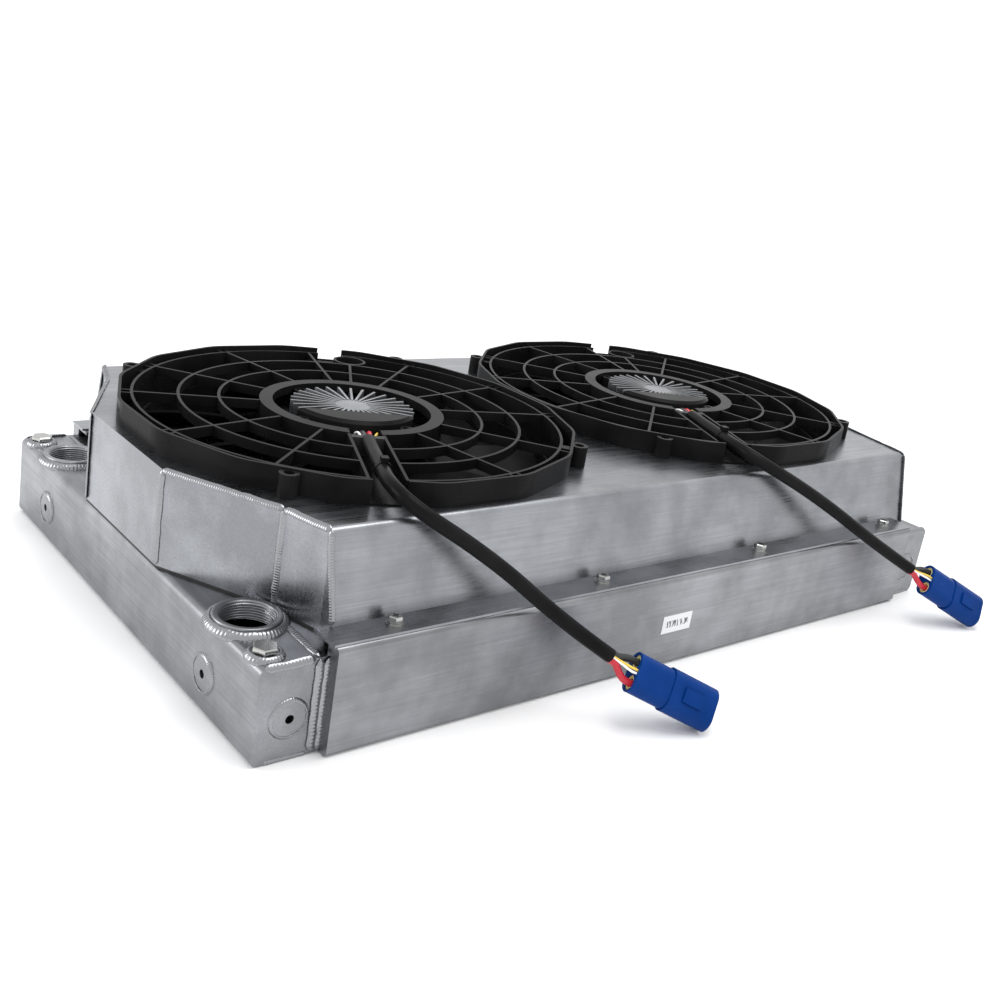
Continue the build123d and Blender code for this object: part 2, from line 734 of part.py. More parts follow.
with BuildPart() as housing:
    # flange on the top plate and the wall above it
    add(rim_outer)
    add(rim_inner, mode=Mode.SUBTRACT)
    with BuildSketch(Plane.XY.offset(fan_plate)):
        Circle(throat_r)
    extrude(amount=fan_flange, mode=Mode.SUBTRACT)
    ring(throat_outer_r, throat_r, throat_bottom, ring_top)
    for angle in spoke_angles:
        radial_bar(hub_outer_r - 1.5, throat_r + 1.0, rib_width, angle, grille_bottom, ring_top)
        for shift in (-1.3, 1.3):
            radial_bar(throat_r + 1.0, rim_flat_r - 1.0, 1.8, angle + shift,
                       fan_plate, ring_top)
    for rib_r in grille_radii:
        ring(rib_r + rib_width / 2, rib_r - rib_width / 2, grille_bottom, ring_top)
    # hub: top ring, skirt and floor
    ring(hub_outer_r, hub_inner_r, hub_top - 8.0, hub_top)
    ring(hub_outer_r, hub_outer_r - 2.5, hub_floor, hub_top)
    ring(hub_outer_r, hub_hole_r, hub_floor, hub_floor + hub_floor_sheet)
    # lug towers inside the hub ring
    for i in range(4):
        angle = lug_angle + 90 * i
        x, y = polar_xy(lug_r, angle)
        with BuildSketch(Plane.XY.offset(hub_floor)):
            with Locations((x, y)):
                Circle(lug_outer_r)
        extrude(amount=hub_top - 3.0 - hub_floor)
        radial_bar(lug_r + 4.0, hub_inner_r + 3.0, 4.0, angle, hub_floor, hub_top - 4.0)
    # ear towers
    with BuildSketch(Plane.XY.offset(fan_plate)):
        with GridLocations(2 * ear_x, 2 * ear_x, 2, 2):
            Circle(ear_r)
    extrude(amount=ear_top - fan_plate)
    for i in range(4):
        angle = 45 + 90 * i
        radial_bar(throat_r + 1.0, ear_x * math.sqrt(2), 9.0, angle, fan_plate, ear_top - 4.0)
    # opening of the duct notch and its curved guard
    nx, ny = polar_xy(rim_flat_r, notch_angle)
    with Locations(Location((nx, ny, ring_top), (0, 0, notch_angle))):
        Box(40.0, notch_width, 2 * (ring_top - fan_plate - 9.0), mode=Mode.SUBTRACT)
    dx, dy = polar_xy(throat_r - duct_r - 2.0, notch_angle - 6.0)
    with BuildSketch(Plane.XY.offset(grille_bottom - 3.0)):
        with Locations((dx, dy)):
            Circle(duct_r)
            Circle(duct_r - rib_width, mode=Mode.SUBTRACT)
    extrude(amount=ring_top - grille_bottom + 3.0)
    radial_bar(hub_outer_r - 1.5, throat_r + 1.0, rib_width, notch_angle + 7.0,
               grille_bottom - 6.0, ring_top)
    radial_bar(hub_outer_r - 1.5, throat_r - 2 * duct_r, rib_width, notch_angle - 6.0,
               grille_bottom, ring_top)
    # trough for the lead, cleared through the grille and the rim
    tx, ty = polar_xy((hub_inner_r + rim_flat_r + 6) / 2, cable_angle)
    trough_span = rim_flat_r + 6 - hub_inner_r + 2.0
    with Locations(Location((tx, ty, (trough_floor + rim_top + 1) / 2), (0, 0, cable_angle))):
        Box(trough_span, 2 * trough_half, rim_top + 1 - trough_floor, mode=Mode.SUBTRACT)
    floor_mid = (hub_outer_r + throat_r) / 2
    fx, fy = polar_xy(floor_mid, cable_angle)
    with Locations(Location((fx, fy, trough_floor - trough_floor_sheet / 2),
                            (0, 0, cable_angle))):
        Box(throat_r - hub_outer_r + 3.0, 2 * (trough_half + trough_wall), trough_floor_sheet)
    for s in (-1, 1):
        wall_angle = math.radians(cable_angle)
        off = s * (trough_half + trough_wall / 2)
        wx = fx - off * math.sin(wall_angle)
        wy = fy + off * math.cos(wall_angle)
        with Locations(Location((wx, wy, (trough_floor - trough_floor_sheet + ring_top) / 2),
                                (0, 0, cable_angle))):
            Box(throat_r - hub_outer_r + 3.0, trough_wall,
                ring_top - trough_floor + trough_floor_sheet)
    # screw holes: ears with deep seats, lugs with deep seats
    with BuildSketch(Plane.XY.offset(ear_top)):
        with GridLocations(2 * ear_x, 2 * ear_x, 2, 2):
            Circle(ear_hole_r)
    extrude(amount=-(ear_top - ear_seat), mode=Mode.SUBTRACT)
    with BuildSketch(Plane.XY.offset(ear_seat)):
        with GridLocations(2 * ear_x, 2 * ear_x, 2, 2):
            Circle(ear_shank_r)
    extrude(amount=-(ear_seat - fan_plate), mode=Mode.SUBTRACT)
    lug_points = [polar_xy(lug_r, lug_angle + 90 * i) for i in range(4)]
    with BuildSketch(Plane.XY.offset(hub_top)):
        with Locations(*lug_points):
            Circle(lug_head_r + 0.5)
    extrude(amount=-(hub_top - hub_floor - hub_floor_sheet - 3.0), mode=Mode.SUBTRACT)
    with BuildSketch(Plane.XY.offset(hub_top)):
        with Locations(*lug_points):
            Circle(lug_screw_r + 0.3)
    extrude(amount=-(hub_top - hub_floor), mode=Mode.SUBTRACT)
    # clear centre for the heat sink
    with BuildSketch(Plane.XY.offset(hub_floor)):
        Circle(hub_hole_r)
    extrude(amount=rim_top - hub_floor, mode=Mode.SUBTRACT)
left_fan_housing = place(housing, -fan_x, "left_fan_housing")
export_step(left_fan_housing, "parts/left_fan_housing.step")
right_fan_housing = place(housing, fan_x, "right_fan_housing")
export_step(right_fan_housing, "parts/right_fan_housing.step")

ear_points = [(cx + sx * ear_x, sy * ear_x) for cx in (-fan_x, fan_x)
              for sx in (-1, 1) for sy in (-1, 1)]
fan_nut_height = 5.0
with BuildPart() as fan_screws:
    with BuildSketch(Plane.XY.offset(ear_seat)):
        with Locations(*ear_points):
            Circle(fan_screw_head_r)
    extrude(amount=fan_screw_head)
    with BuildSketch(Plane.XY.offset(ear_seat + fan_screw_head)):
        with Locations(*ear_points):
            RegularPolygon(2.0, 6, major_radius=False)
    extrude(amount=-2.5, mode=Mode.SUBTRACT)
    with BuildSketch(Plane.XY.offset(ear_seat)):
        with Locations(*ear_points):
            Circle(fan_screw_r)
    extrude(amount=-(ear_seat - shroud_top + shroud_sheet + fan_nut_height + 1.0))
fan_screws.part.label = "fan_screws"
export_step(fan_screws.part, "parts/fan_screws.step")

with BuildPart() as fan_nuts:
    with BuildSketch(Plane.XY.offset(shroud_top - shroud_sheet)):
        with Locations(*ear_points):
            RegularPolygon(4.0, 6, major_radius=False)
            Circle(fan_screw_r + 0.3, mode=Mode.SUBTRACT)
    extrude(amount=-fan_nut_height)
fan_nuts.part.label = "fan_nuts"
export_step(fan_nuts.part, "parts/fan_nuts.step")

# ================================================================ motors
board_standoff_r = 44.0
with BuildPart() as sink:
    ring(sink_flange_r, post_r - 1.0, sink_flange_bottom, hub_floor)
    ring(sink_r, 0.001 + shaft_r * 2, hub_floor - 1.0, sink_platform)
    # upright cooling fins around a solid centre
    with BuildSketch(Plane.XY.offset(sink_platform)):
        Circle(sink_centre_r)
    extrude(amount=sink_top - sink_platform - 0.6)
    for i in range(sink_fin_count):
        radial_bar(sink_centre_r - 1.0, sink_r, sink_fin, i * 360 / sink_fin_count,
                   sink_platform - 1.0, sink_top)
    # flat left for the lead cover
    cx, cy = polar_xy(cover_chord + 50.0, cable_angle)
    with Locations(Location((cx, cy, (sink_platform + sink_top + 1) / 2), (0, 0, cable_angle))):
        Box(100.0, 160.0, sink_top + 1 - sink_platform, mode=Mode.SUBTRACT)
    # hollow post that carries the stator and the bearings
    ring(post_r, bearing_r, post_bottom, sink_flange_bottom + 1.0)
    with BuildSketch(Plane.XY.offset(sink_flange_bottom)):
        Circle(post_r)
    extrude(amount=sink_platform - sink_flange_bottom)
    standoffs = [polar_xy(board_standoff_r, 90 + 120 * i) for i in range(3)]
    with BuildSketch(Plane.XY.offset(board_top)):
        with Locations(*standoffs):
            Circle(3.0)
    extrude(amount=sink_flange_bottom - board_top)
    with BuildSketch(Plane.XY.offset(hub_floor)):
        with Locations(*lug_points):
            Circle(lug_screw_r + 0.3)
    extrude(amount=-(hub_floor - sink_flange_bottom), mode=Mode.SUBTRACT)
for name, x in (("left", -fan_x), ("right", fan_x)):
    heat_sink = place(sink, x, name + "_heat_sink")
    export_step(heat_sink, "parts/" + name + "_heat_sink.step")

with BuildPart() as bearings:
    ring(bearing_r, shaft_r + shaft_gap, post_bottom + 0.5, post_bottom + 0.5 + bearing_width)
    ring(bearing_r, shaft_r + shaft_gap, sink_flange_bottom - bearing_width - 1.0,
         sink_flange_bottom - 1.0)
all_bearings = Compound(children=[bearings.part.moved(Location((x, 0, 0)))
                                  for x in (-fan_x, fan_x)])
all_bearings.label = "bearings"
export_step(all_bearings, "parts/bearings.step")

# Arched cover over the place where the lead enters the motor.
with BuildPart() as cover:
    cover_low = sink_platform
    cover_high = sink_top + 1.5
    with BuildSketch(Plane.XY.offset(cover_low)):
        Circle(cover_r - 13.0)
    extrude(amount=cover_high - cover_low)
    kx, ky = polar_xy(cover_chord + 0.5 - 50.0, cable_angle)
    with Locations(Location((kx, ky, (cover_low + cover_high) / 2), (0, 0, cable_angle))):
        Box(100.0, 160.0, cover_high - cover_low + 1, mode=Mode.SUBTRACT)
    chamfer(faces().sort_by(Axis.Z)[-1].edges(), 3.0)
for name, x in (("left", -fan_x), ("right", fan_x)):
    lid = place(cover, x, name + "_motor_cover")
    export_step(lid, "parts/" + name + "_motor_cover.step")

with BuildPart() as lug_screw_set:
    seat = hub_floor + hub_floor_sheet + 3.0
    with BuildSketch(Plane.XY.offset(seat)):
        with Locations(*lug_points):
            Circle(lug_head_r)
    extrude(amount=lug_head)
    with BuildSketch(Plane.XY.offset(seat)):
        with Locations(*lug_points):
            Circle(lug_screw_r)
    extrude(amount=-(seat - sink_flange_bottom))
both_lug_screws = Compound(children=[lug_screw_set.part.moved(Location((x, 0, 0)))
                                     for x in (-fan_x, fan_x)])
both_lug_screws.label = "motor_screws"
export_step(both_lug_screws, "parts/motor_screws.step")

with BuildPart() as board:
    ring(board_r, post_r + 2.0, board_top - board_sheet, board_top)
    with Locations((0, 34.0, board_top + 1.0)):
        Box(16.0, 10.0, 2.0)
for name, x in (("left", -fan_x), ("right", fan_x)):
    driver = place(board, x, name + "_drive_board")
    export_step(driver, "parts/" + name + "_drive_board.step")

with BuildPart() as stator:
    ring(post_r + 7.0, post_r, stator_bottom, stator_top)
    for i in range(tooth_count):
        radial_bar(post_r + 6.0, stator_r - 3.0, 4.0, i * 360 / tooth_count,
                   stator_bottom, stator_top)
    for i in range(tooth_count):
        radial_bar(stator_r - 3.6, stator_r - 0.8, 14.0, i * 360 / tooth_count,
                   stator_bottom, stator_top)
with BuildPart() as windings:
    for i in range(tooth_count):
        radial_bar(post_r + 7.5, stator_r - 4.0, 7.0, i * 360 / tooth_count,
                   stator_bottom - 2.0, stator_top + 2.0)
    for i in range(tooth_count):
        angle = i * 360 / tooth_count
        x, y = polar_xy((post_r + stator_r) / 2, angle)
        with Locations(Location((x, y, (stator_bottom + stator_top) / 2), (0, 0, angle))):
            Box(stator_r, 4.0, stator_top - stator_bottom, mode=Mode.SUBTRACT)
for name, x in (("left", -fan_x), ("right", fan_x)):
    core = place(stator, x, name + "_stator")
    export_step(core, "parts/" + name + "_stator.step")
    coils = place(windings, x, name + "_windings")
    export_step(coils, "parts/" + name + "_windings.step")

# ================================================================ rotors
with BuildPart() as can:
    ring(can_outer_r, can_inner_r, can_floor, can_top)
    ring(can_outer_r, shaft_r, can_floor, can_floor + can_floor_sheet)
with BuildPart() as magnets:
    with BuildSketch(Plane.XY.offset(stator_bottom)):
        Circle(can_inner_r)
        Circle(magnet_inner_r, mode=Mode.SUBTRACT)
        with PolarLocations((can_inner_r + magnet_inner_r) / 2, 14):
            Rectangle(can_inner_r - magnet_inner_r + 2.0, 2.0, mode=Mode.SUBTRACT)
    extrude(amount=stator_top - stator_bottom)
with BuildPart() as shaft:
    with BuildSketch(Plane.XY.offset(rotor_floor)):
        Circle(shaft_r)
    extrude(amount=sink_flange_bottom - 1.0 - rotor_floor)
for name, x in (("left", -fan_x), ("right", fan_x)):
    cup = place(can, x, name + "_rotor_can")
    export_step(cup, "parts/" + name + "_rotor_can.step")
    ring_magnets = place(magnets, x, name + "_rotor_magnets")
    export_step(ring_magnets, "parts/" + name + "_rotor_magnets.step")
    spindle = place(shaft, x, name + "_motor_shaft")
    export_step(spindle, "parts/" + name + "_motor_shaft.step")


def blade_section(radius, azimuth, chord, pitch, height):
    """Thin slanted rectangle facing outwards at one radius, as a sketch for the loft."""
    x, y = polar_xy(radius, azimuth)
    out = (x / radius, y / radius, 0)
    around = (-y / radius, x / radius, 0)
    plane = Plane(origin=(x, y, height), x_dir=around, z_dir=out)
    with BuildSketch(plane) as section:
        Rectangle(chord, blade_sheet, rotation=pitch)
    return section


blade_mid = (band_bottom + band_top) / 2
with BuildPart() as one_blade:
    root = blade_section(rotor_hub_r - 2.5, 0, 50.0, 33.0, blade_mid)
    waist = blade_section((rotor_hub_r + band_r) / 2, 5, 66.0, 26.0, blade_mid)
    tip = blade_section(blade_tip_r + 0.6, 14, 78.0, 20.0, blade_mid)
    loft(sections=[root.sketch.face(), waist.sketch.face(), tip.sketch.face()])

with BuildPart() as rotor:
    ring(rotor_hub_r, rotor_hub_r - rotor_wall, rotor_floor, rotor_top)
    ring(rotor_hub_r, shaft_r + 0.3, rotor_floor, can_floor)
    ring(band_r, band_r - band_wall, band_bottom, band_top)
    with PolarLocations(0, blade_count):
        add(one_blade.part)
    # keep the blades' outer corners inside the band
    with BuildSketch(Plane.XY.offset(rotor_floor)):
        Circle(band_r + 30.0)
        Circle(band_r, mode=Mode.SUBTRACT)
    extrude(amount=rotor_top - rotor_floor + 10.0, mode=Mode.SUBTRACT)
    with BuildSketch(Plane.XY.offset(can_floor)):
        Circle(rotor_hub_r - rotor_wall)
    extrude(amount=rotor_top - can_floor + 5.0, mode=Mode.SUBTRACT)
for name, x in (("left", -fan_x), ("right", fan_x)):
    wheel = place(rotor, x, name + "_fan_rotor")
    export_step(wheel, "parts/" + name + "_fan_rotor.step")

# ================================================================ leads
def unit(v):
    """Vector of length one."""
    size = math.sqrt(sum(c * c for c in v))
    return tuple(c / size for c in v)


def heading(azimuth, pitch):
    """Direction that points along an azimuth and down by a pitch, both in degrees."""
    a = math.radians(azimuth)
    p = math.radians(pitch)
    return (math.cos(a) * math.cos(p), math.sin(a) * math.cos(p), -math.sin(p))


def along(point, direction, distance):
    """Point at a distance along a direction."""
    return tuple(p + distance * d for p, d in zip(point, direction))


def bend_radii(points):
    """Fillet radius at each inner control point of a lead."""
    radii = []
    for a, b, c in zip(points, points[1:], points[2:]):
        run_in = [q - p for p, q in zip(a, b)]
        run_out = [q - p for p, q in zip(b, c)]
        shorter = min(math.dist(a, b), math.dist(b, c))
        u = unit(run_in)
        v = unit(run_out)
        turn = math.acos(max(-1, min(1, sum(i * j for i, j in zip(u, v)))))
        radii.append(0.45 * shorter / math.tan(turn / 2))
    return radii


def lead_tube(points, label):
    """Round sleeve of the lead: straight runs joined by arcs."""
    radii = bend_radii(points)
    print(label, "radii", [round(r, 1) for r in radii])
    start_dir = unit([q - p for p, q in zip(points[0], points[1])])
    with BuildPart() as tube:
        with BuildLine() as path:
            FilletPolyline(*points, radius=radii)
        with BuildSketch(Plane(origin=points[0], z_dir=start_dir)):
            Circle(lead_d / 2)
        sweep()
    tube.part.label = label
    length = path.wires()[0].length
    area = math.pi * (lead_d / 2) ** 2
    print(label, "length", round(length, 1), "volume ratio",
          round(tube.part.volume / (length * area), 4))
    return tube.part


def lead_points(fan_centre, corner_r, sleeve_end, last_dir, middles):
    """Control points of a lead from its grommet to the end of the sleeve."""
    cx, cy = polar_xy(gland_r + gland_length, cable_angle)
    start = (fan_centre + cx, cy, lead_z)
    mx, my = polar_xy(first_bend_r, cable_angle - 0.5)
    ex, ey = polar_xy(corner_r, cable_angle)
    corner = (fan_centre + ex, ey, lead_z + 2.5)
    before = along(sleeve_end, last_dir, -last_run)
    return [start, (fan_centre + mx, my, lead_z + 1.0), corner, *middles, before, sleeve_end]


first_bend_r = 143.0
last_run = 50.0
wire_gap = 24.0
plug_radius = plug_thick / 2
plug_flat = plug_wide - plug_thick


def plug_frame(nose_xy, azimuth, pitch, roll):
    """Plane at the plug's rear face; z runs to the nose, x is the wide way."""
    a = heading(azimuth, pitch)
    side = (math.sin(math.radians(azimuth)), -math.cos(math.radians(azimuth)), 0)
    up = tuple(a[(i + 1) % 3] * side[(i + 2) % 3] - a[(i + 2) % 3] * side[(i + 1) % 3]
               for i in range(3))
    if up[2] < 0:
        up = tuple(-c for c in up)
    r = math.radians(roll)
    wide = tuple(math.cos(r) * u + math.sin(r) * s for u, s in zip(up, side))
    drop = plug_flat / 2 * abs(wide[2]) + plug_radius * math.sqrt(1 - a[2] ** 2)
    nose = (nose_xy[0], nose_xy[1], drop + tip_gap)
    rear = along(nose, a, -(hood_length + rear_length))
    return Plane(origin=rear, x_dir=wide, z_dir=a), rear, a


cavity_x = plug_flat / 2 + 1.0
thin_y = 3.0


def plug_body(frame, label):
    """Connector housing: rear block with wire cavities, collar and open hood."""
    with BuildPart() as body:
        with BuildSketch(frame):
            SlotOverall(plug_rear_wide, plug_rear_thick)
        extrude(amount=rear_length)
        with BuildSketch(frame.offset(rear_length - 3.0)):
            SlotOverall(plug_wide, plug_thick)
        extrude(amount=hood_length + 3.0)
        with BuildSketch(frame.offset(rear_length + hood_length)):
            SlotOverall(plug_wide - 4.0, plug_thick - 4.0)
        extrude(amount=-(hood_length - 6.0), mode=Mode.SUBTRACT)
        with BuildSketch(frame.offset(rear_length + 6.0)):
            with Locations((-cavity_x, 0), (cavity_x, 0)):
                Circle(4.5)
        extrude(amount=22.0)
        with BuildSketch(frame):
            with Locations((-cavity_x, 0), (cavity_x, 0)):
                Circle(cavity_r)
        extrude(amount=cavity_depth, mode=Mode.SUBTRACT)
        # side rails and latch
        with BuildSketch(frame.offset(rear_length + 8.0)):
            with Locations((0, plug_thick / 2 + 0.6)):
                Rectangle(12.0, 2.4)
        extrude(amount=18.0)
    body.part.label = label
    return body.part


def plug_wires(frame, sleeve_end, label):
    """Two thick and two thin wires between the sleeve and the plug."""
    targets = [(-cavity_x, 0, wire_r), (cavity_x, 0, wire_r)]
    starts = [(-wire_r - 0.1, 0), (wire_r + 0.1, 0)]
    shapes = []
    for (tx, ty, r), (sx, sy) in zip(targets, starts):
        end = frame.from_local_coords(Vector(tx, ty, cavity_depth))
        shift = frame.from_local_coords(Vector(sx, sy, 0)) - frame.origin
        start = Vector(*sleeve_end) + shift
        direction = end - start
        with BuildPart() as wire:
            with BuildSketch(Plane(origin=start, z_dir=direction)):
                Circle(r)
            extrude(amount=direction.length)
        shapes.append(wire.part)
    bundle = Compound(children=shapes)
    bundle.label = label
    return bundle


def plug_seals(frame):
    """Round seals that fill the wire cavities."""
    with BuildPart() as seals:
        with BuildSketch(frame.offset(1.5)):
            with Locations((-cavity_x, 0), (cavity_x, 0)):
                Circle(cavity_r)
                Circle(wire_r + 0.9, mode=Mode.SUBTRACT)
        extrude(amount=cavity_depth - 1.5)
    return seals.part


left_frame, left_rear, left_axis = plug_frame((-61.0, -349.0), -30.5, 23.0, -32.0)
right_frame, right_rear, right_axis = plug_frame((400.0, -331.0), -26.5, 26.0, -32.0)

left_last = heading(-30.8, 31.0)
left_end = along(left_rear, left_last, -wire_gap)
left_points = lead_points(-fan_x, 233.0, left_end, left_last,
                          [(-232.0, -250.0, 132.5)])
left_lead = lead_tube(left_points, "left_lead")
export_step(left_lead, "parts/left_lead.step")

right_last = heading(-26.5, 27.0)
right_end = along(right_rear, right_last, -wire_gap)
right_points = lead_points(fan_x, 237.0, right_end, right_last,
                           [(194.0, -241.0, 135.0)])
right_lead = lead_tube(right_points, "right_lead")
export_step(right_lead, "parts/right_lead.step")
print("left points", [tuple(round(c, 1) for c in p) for p in left_points])
print("right points", [tuple(round(c, 1) for c in p) for p in right_points])

left_plug = plug_body(left_frame, "left_plug")
export_step(left_plug, "parts/left_plug.step")
right_plug = plug_body(right_frame, "right_plug")
export_step(right_plug, "parts/right_plug.step")

wire_seals = Compound(children=[plug_seals(left_frame), plug_seals(right_frame)])
wire_seals.label = "wire_seals"
export_step(wire_seals, "parts/wire_seals.step")

left_plug_wires = plug_wires(left_frame, left_end, "left_plug_wires")
export_step(left_plug_wires, "parts/left_plug_wires.step")
right_plug_wires = plug_wires(right_frame, right_end, "right_plug_wires")
export_step(right_plug_wires, "parts/right_plug_wires.step")

# Rubber grommet that grips each lead where it leaves the hub.
with BuildPart() as gland:
    with Locations(Location((*polar_xy(gland_r + gland_length / 2, cable_angle),
                             (trough_floor + hub_top) / 2), (0, 0, cable_angle))):
        Box(gland_length, 2 * trough_half, hub_top - trough_floor)
for name, x in (("left", -fan_x), ("right", fan_x)):
    grommet = place(gland, x, name + "_lead_grommet")
    export_step(grommet, "parts/" + name + "_lead_grommet.step")

# Small plain label on the front channel.
with BuildPart() as label_plate:
    with Locations((-5.0, -channel_face - 0.15, 41.0)):
        Box(38.0, 0.3, 17.0)
label_plate.part.label = "label"
export_step(label_plate.part, "parts/label.step")
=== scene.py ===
import json
import logging
import math
from dataclasses import dataclass, field
from enum import Enum

import bpy
import numpy as np
from mathutils import Matrix, Vector


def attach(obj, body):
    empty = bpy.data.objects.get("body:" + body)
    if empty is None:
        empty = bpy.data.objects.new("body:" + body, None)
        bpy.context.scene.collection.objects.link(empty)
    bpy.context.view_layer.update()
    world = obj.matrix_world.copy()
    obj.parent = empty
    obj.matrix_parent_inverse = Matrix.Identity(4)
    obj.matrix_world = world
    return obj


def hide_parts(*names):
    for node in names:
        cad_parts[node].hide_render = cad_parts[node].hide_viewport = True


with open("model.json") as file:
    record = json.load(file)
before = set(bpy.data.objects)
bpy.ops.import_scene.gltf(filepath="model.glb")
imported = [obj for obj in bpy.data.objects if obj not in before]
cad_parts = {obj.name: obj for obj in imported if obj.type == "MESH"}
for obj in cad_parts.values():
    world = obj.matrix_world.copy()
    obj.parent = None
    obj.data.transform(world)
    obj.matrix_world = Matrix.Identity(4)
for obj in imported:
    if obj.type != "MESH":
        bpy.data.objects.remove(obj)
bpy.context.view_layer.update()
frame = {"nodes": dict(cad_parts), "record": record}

logging.basicConfig(level=logging.INFO, format="%(levelname)s %(message)s")
log = logging.getLogger("radiator")

MM = 0.001

Colour = tuple[float, float, float]
Point = tuple[float, float, float]
Span = tuple[float, float]


# ---------------------------------------------------------------- dimensions
@dataclass(frozen=True)
class Layout:
    """Sizes shared by the sub-assemblies, in metres, in the model's own frame."""

    half_length: float = 0.419
    half_depth: float = 0.246
    tank_height: float = 0.076
    joint_x: float = 0.372
    header_x: float = 0.365
    channel_face: float = 0.257
    channel_height: float = 0.086
    shroud_top: float = 0.157
    shroud_foot: float = 0.0784
    fan_x: float = 0.206
    port_x: float = -0.394
    port_y: float = 0.178
    port_top: float = 0.082
    bleed_x: float = -0.406
    bleed_y: float = 0.228
    boss_z: float = 0.033
    cable_angle: float = math.radians(-114.0)
    tube_count: int = 38
    tube_pitch: float = 0.0124
    fin_height: float = 0.0102
    core_low: float = 0.008
    core_high: float = 0.068

    def bosses(self) -> list[tuple[float, float, tuple[float, float, float]]]:
        """Places the mounting bosses.

        Returns:
            the plan position and facing of each.
        """
        found = []
        for side in (-1.0, 1.0):
            for end in (-1.0, 1.0):
                found.append((side * self.half_length, end * 0.168, (side, 0.0, 0.0)))
                found.append((side * 0.3925, end * self.half_depth, (0.0, end, 0.0)))
        return found


LAYOUT = Layout()


def unit(v: np.ndarray | Point) -> np.ndarray:
    """Vector of length one, as a numpy array."""
    v = np.asarray(v, float)
    return v / np.linalg.norm(v)


# ---------------------------------------------------------------- materials
class Graph:
    """A material's node tree with short helpers to add and link nodes."""

    def __init__(self, name: str, preview: Colour) -> None:
        """Starts a material.

        Args:
            name: the material's name.
            preview: its plain colour in the viewport.
        """
        self.material = bpy.data.materials.new(name)
        self.material.use_nodes = True
        self.material.diffuse_color = (*preview, 1.0)
        self.tree = self.material.node_tree
        self.surface = self.tree.nodes["Principled BSDF"]

    def add(self, kind: str, **values: object) -> bpy.types.Node:
        """Adds a node and sets its properties or inputs by name.

        Args:
            kind: the node's type.
            values: inputs or properties by name.

        Returns:
            the node.
        """
        node = self.tree.nodes.new(kind)
        for key, value in values.items():
            if key in node.inputs:
                node.inputs[key].default_value = value
            else:
                setattr(node, key, value)
        return node

    def link(self, out: bpy.types.NodeSocket, into: bpy.types.NodeSocket) -> None:
        """Joins an output socket to an input socket."""
        self.tree.links.new(out, into)

    def stretched(self, scale: Point) -> bpy.types.NodeSocket:
        """Object coordinates times a scale on each axis.

        Args:
            scale: three multipliers.

        Returns:
            the vector output socket.
        """
        place = self.add("ShaderNodeTexCoord")
        stretch = self.add("ShaderNodeMapping")
        stretch.inputs["Scale"].default_value = scale
        self.link(place.outputs["Object"], stretch.inputs["Vector"])
        return stretch.outputs["Vector"]

    def noise(self, scale: Point, size: float, detail: float = 4.0,
              rough: float = 0.55) -> bpy.types.NodeSocket:
        """Noise over stretched object coordinates.

        Args:
            scale: multiplier on each axis.
            size: frequency of the noise.
            detail: number of octaves.
            rough: weight of the finer octaves.

        Returns:
            the value socket.
        """
        noise = self.add("ShaderNodeTexNoise", Scale=size, Detail=detail, Roughness=rough)
        self.link(self.stretched(scale), noise.inputs["Vector"])
        return noise.outputs["Fac"]

    def ramp(self, value: bpy.types.NodeSocket, low: float, high: float, start: float,
             end: float) -> bpy.types.NodeSocket:
        """Maps a value from one range to another, clamped.

        Args:
            value: the socket to map.
            low: result at the start.
            high: result at the end.
            start: value that gives the low result.
            end: value that gives the high result.

        Returns:
            the result socket.
        """
        node = self.add("ShaderNodeMapRange")
        node.inputs["From Min"].default_value = start
        node.inputs["From Max"].default_value = end
        node.inputs["To Min"].default_value = low
        node.inputs["To Max"].default_value = high
        self.link(value, node.inputs["Value"])
        return node.outputs["Result"]

    def blend(self, factor: bpy.types.NodeSocket, first: Colour | bpy.types.NodeSocket,
              second: Colour | bpy.types.NodeSocket) -> bpy.types.NodeSocket:
        """Mixes two colours.

        Args:
            factor: how much of the second.
            first: a colour or a colour socket.
            second: a colour or a colour socket.

        Returns:
            the mixed colour's socket.
        """
        mix = self.add("ShaderNodeMix", data_type="RGBA")
        self.link(factor, mix.inputs["Factor"])
        for socket, colour in ((mix.inputs[6], first), (mix.inputs[7], second)):
            if hasattr(colour, "is_output"):
                self.link(colour, socket)
            else:
                socket.default_value = (*colour, 1.0)
        return mix.outputs[2]

    def math(self, operation: str, first: float | bpy.types.NodeSocket,
             second: float | bpy.types.NodeSocket) -> bpy.types.NodeSocket:
        """Adds one arithmetic node.

        Args:
            operation: the node's operation.
            first: a number or a socket.
            second: a number or a socket.

        Returns:
            the value socket.
        """
        node = self.add("ShaderNodeMath", operation=operation)
        for socket, value in zip(node.inputs, (first, second)):
            if hasattr(value, "is_output"):
                self.link(value, socket)
            else:
                socket.default_value = value
        return node.outputs["Value"]

    def bump(self, height: bpy.types.NodeSocket, strength: float,
             distance: float = 0.0004) -> None:
        """Feeds a height socket to the surface's normal.

        Args:
            height: the height socket.
            strength: how strongly it shows.
            distance: the relief's depth, metres.
        """
        node = self.add("ShaderNodeBump", Strength=strength, Distance=distance)
        self.link(height, node.inputs["Height"])
        self.link(node.outputs["Normal"], self.surface.inputs["Normal"])


class Along(Enum):
    """Direction in which a rolled or brushed surface is streaked."""

    LENGTH = (3.0, 130.0, 130.0)
    DEPTH = (130.0, 3.0, 130.0)
    HEIGHT = (130.0, 130.0, 4.0)
    NONE = (60.0, 60.0, 60.0)


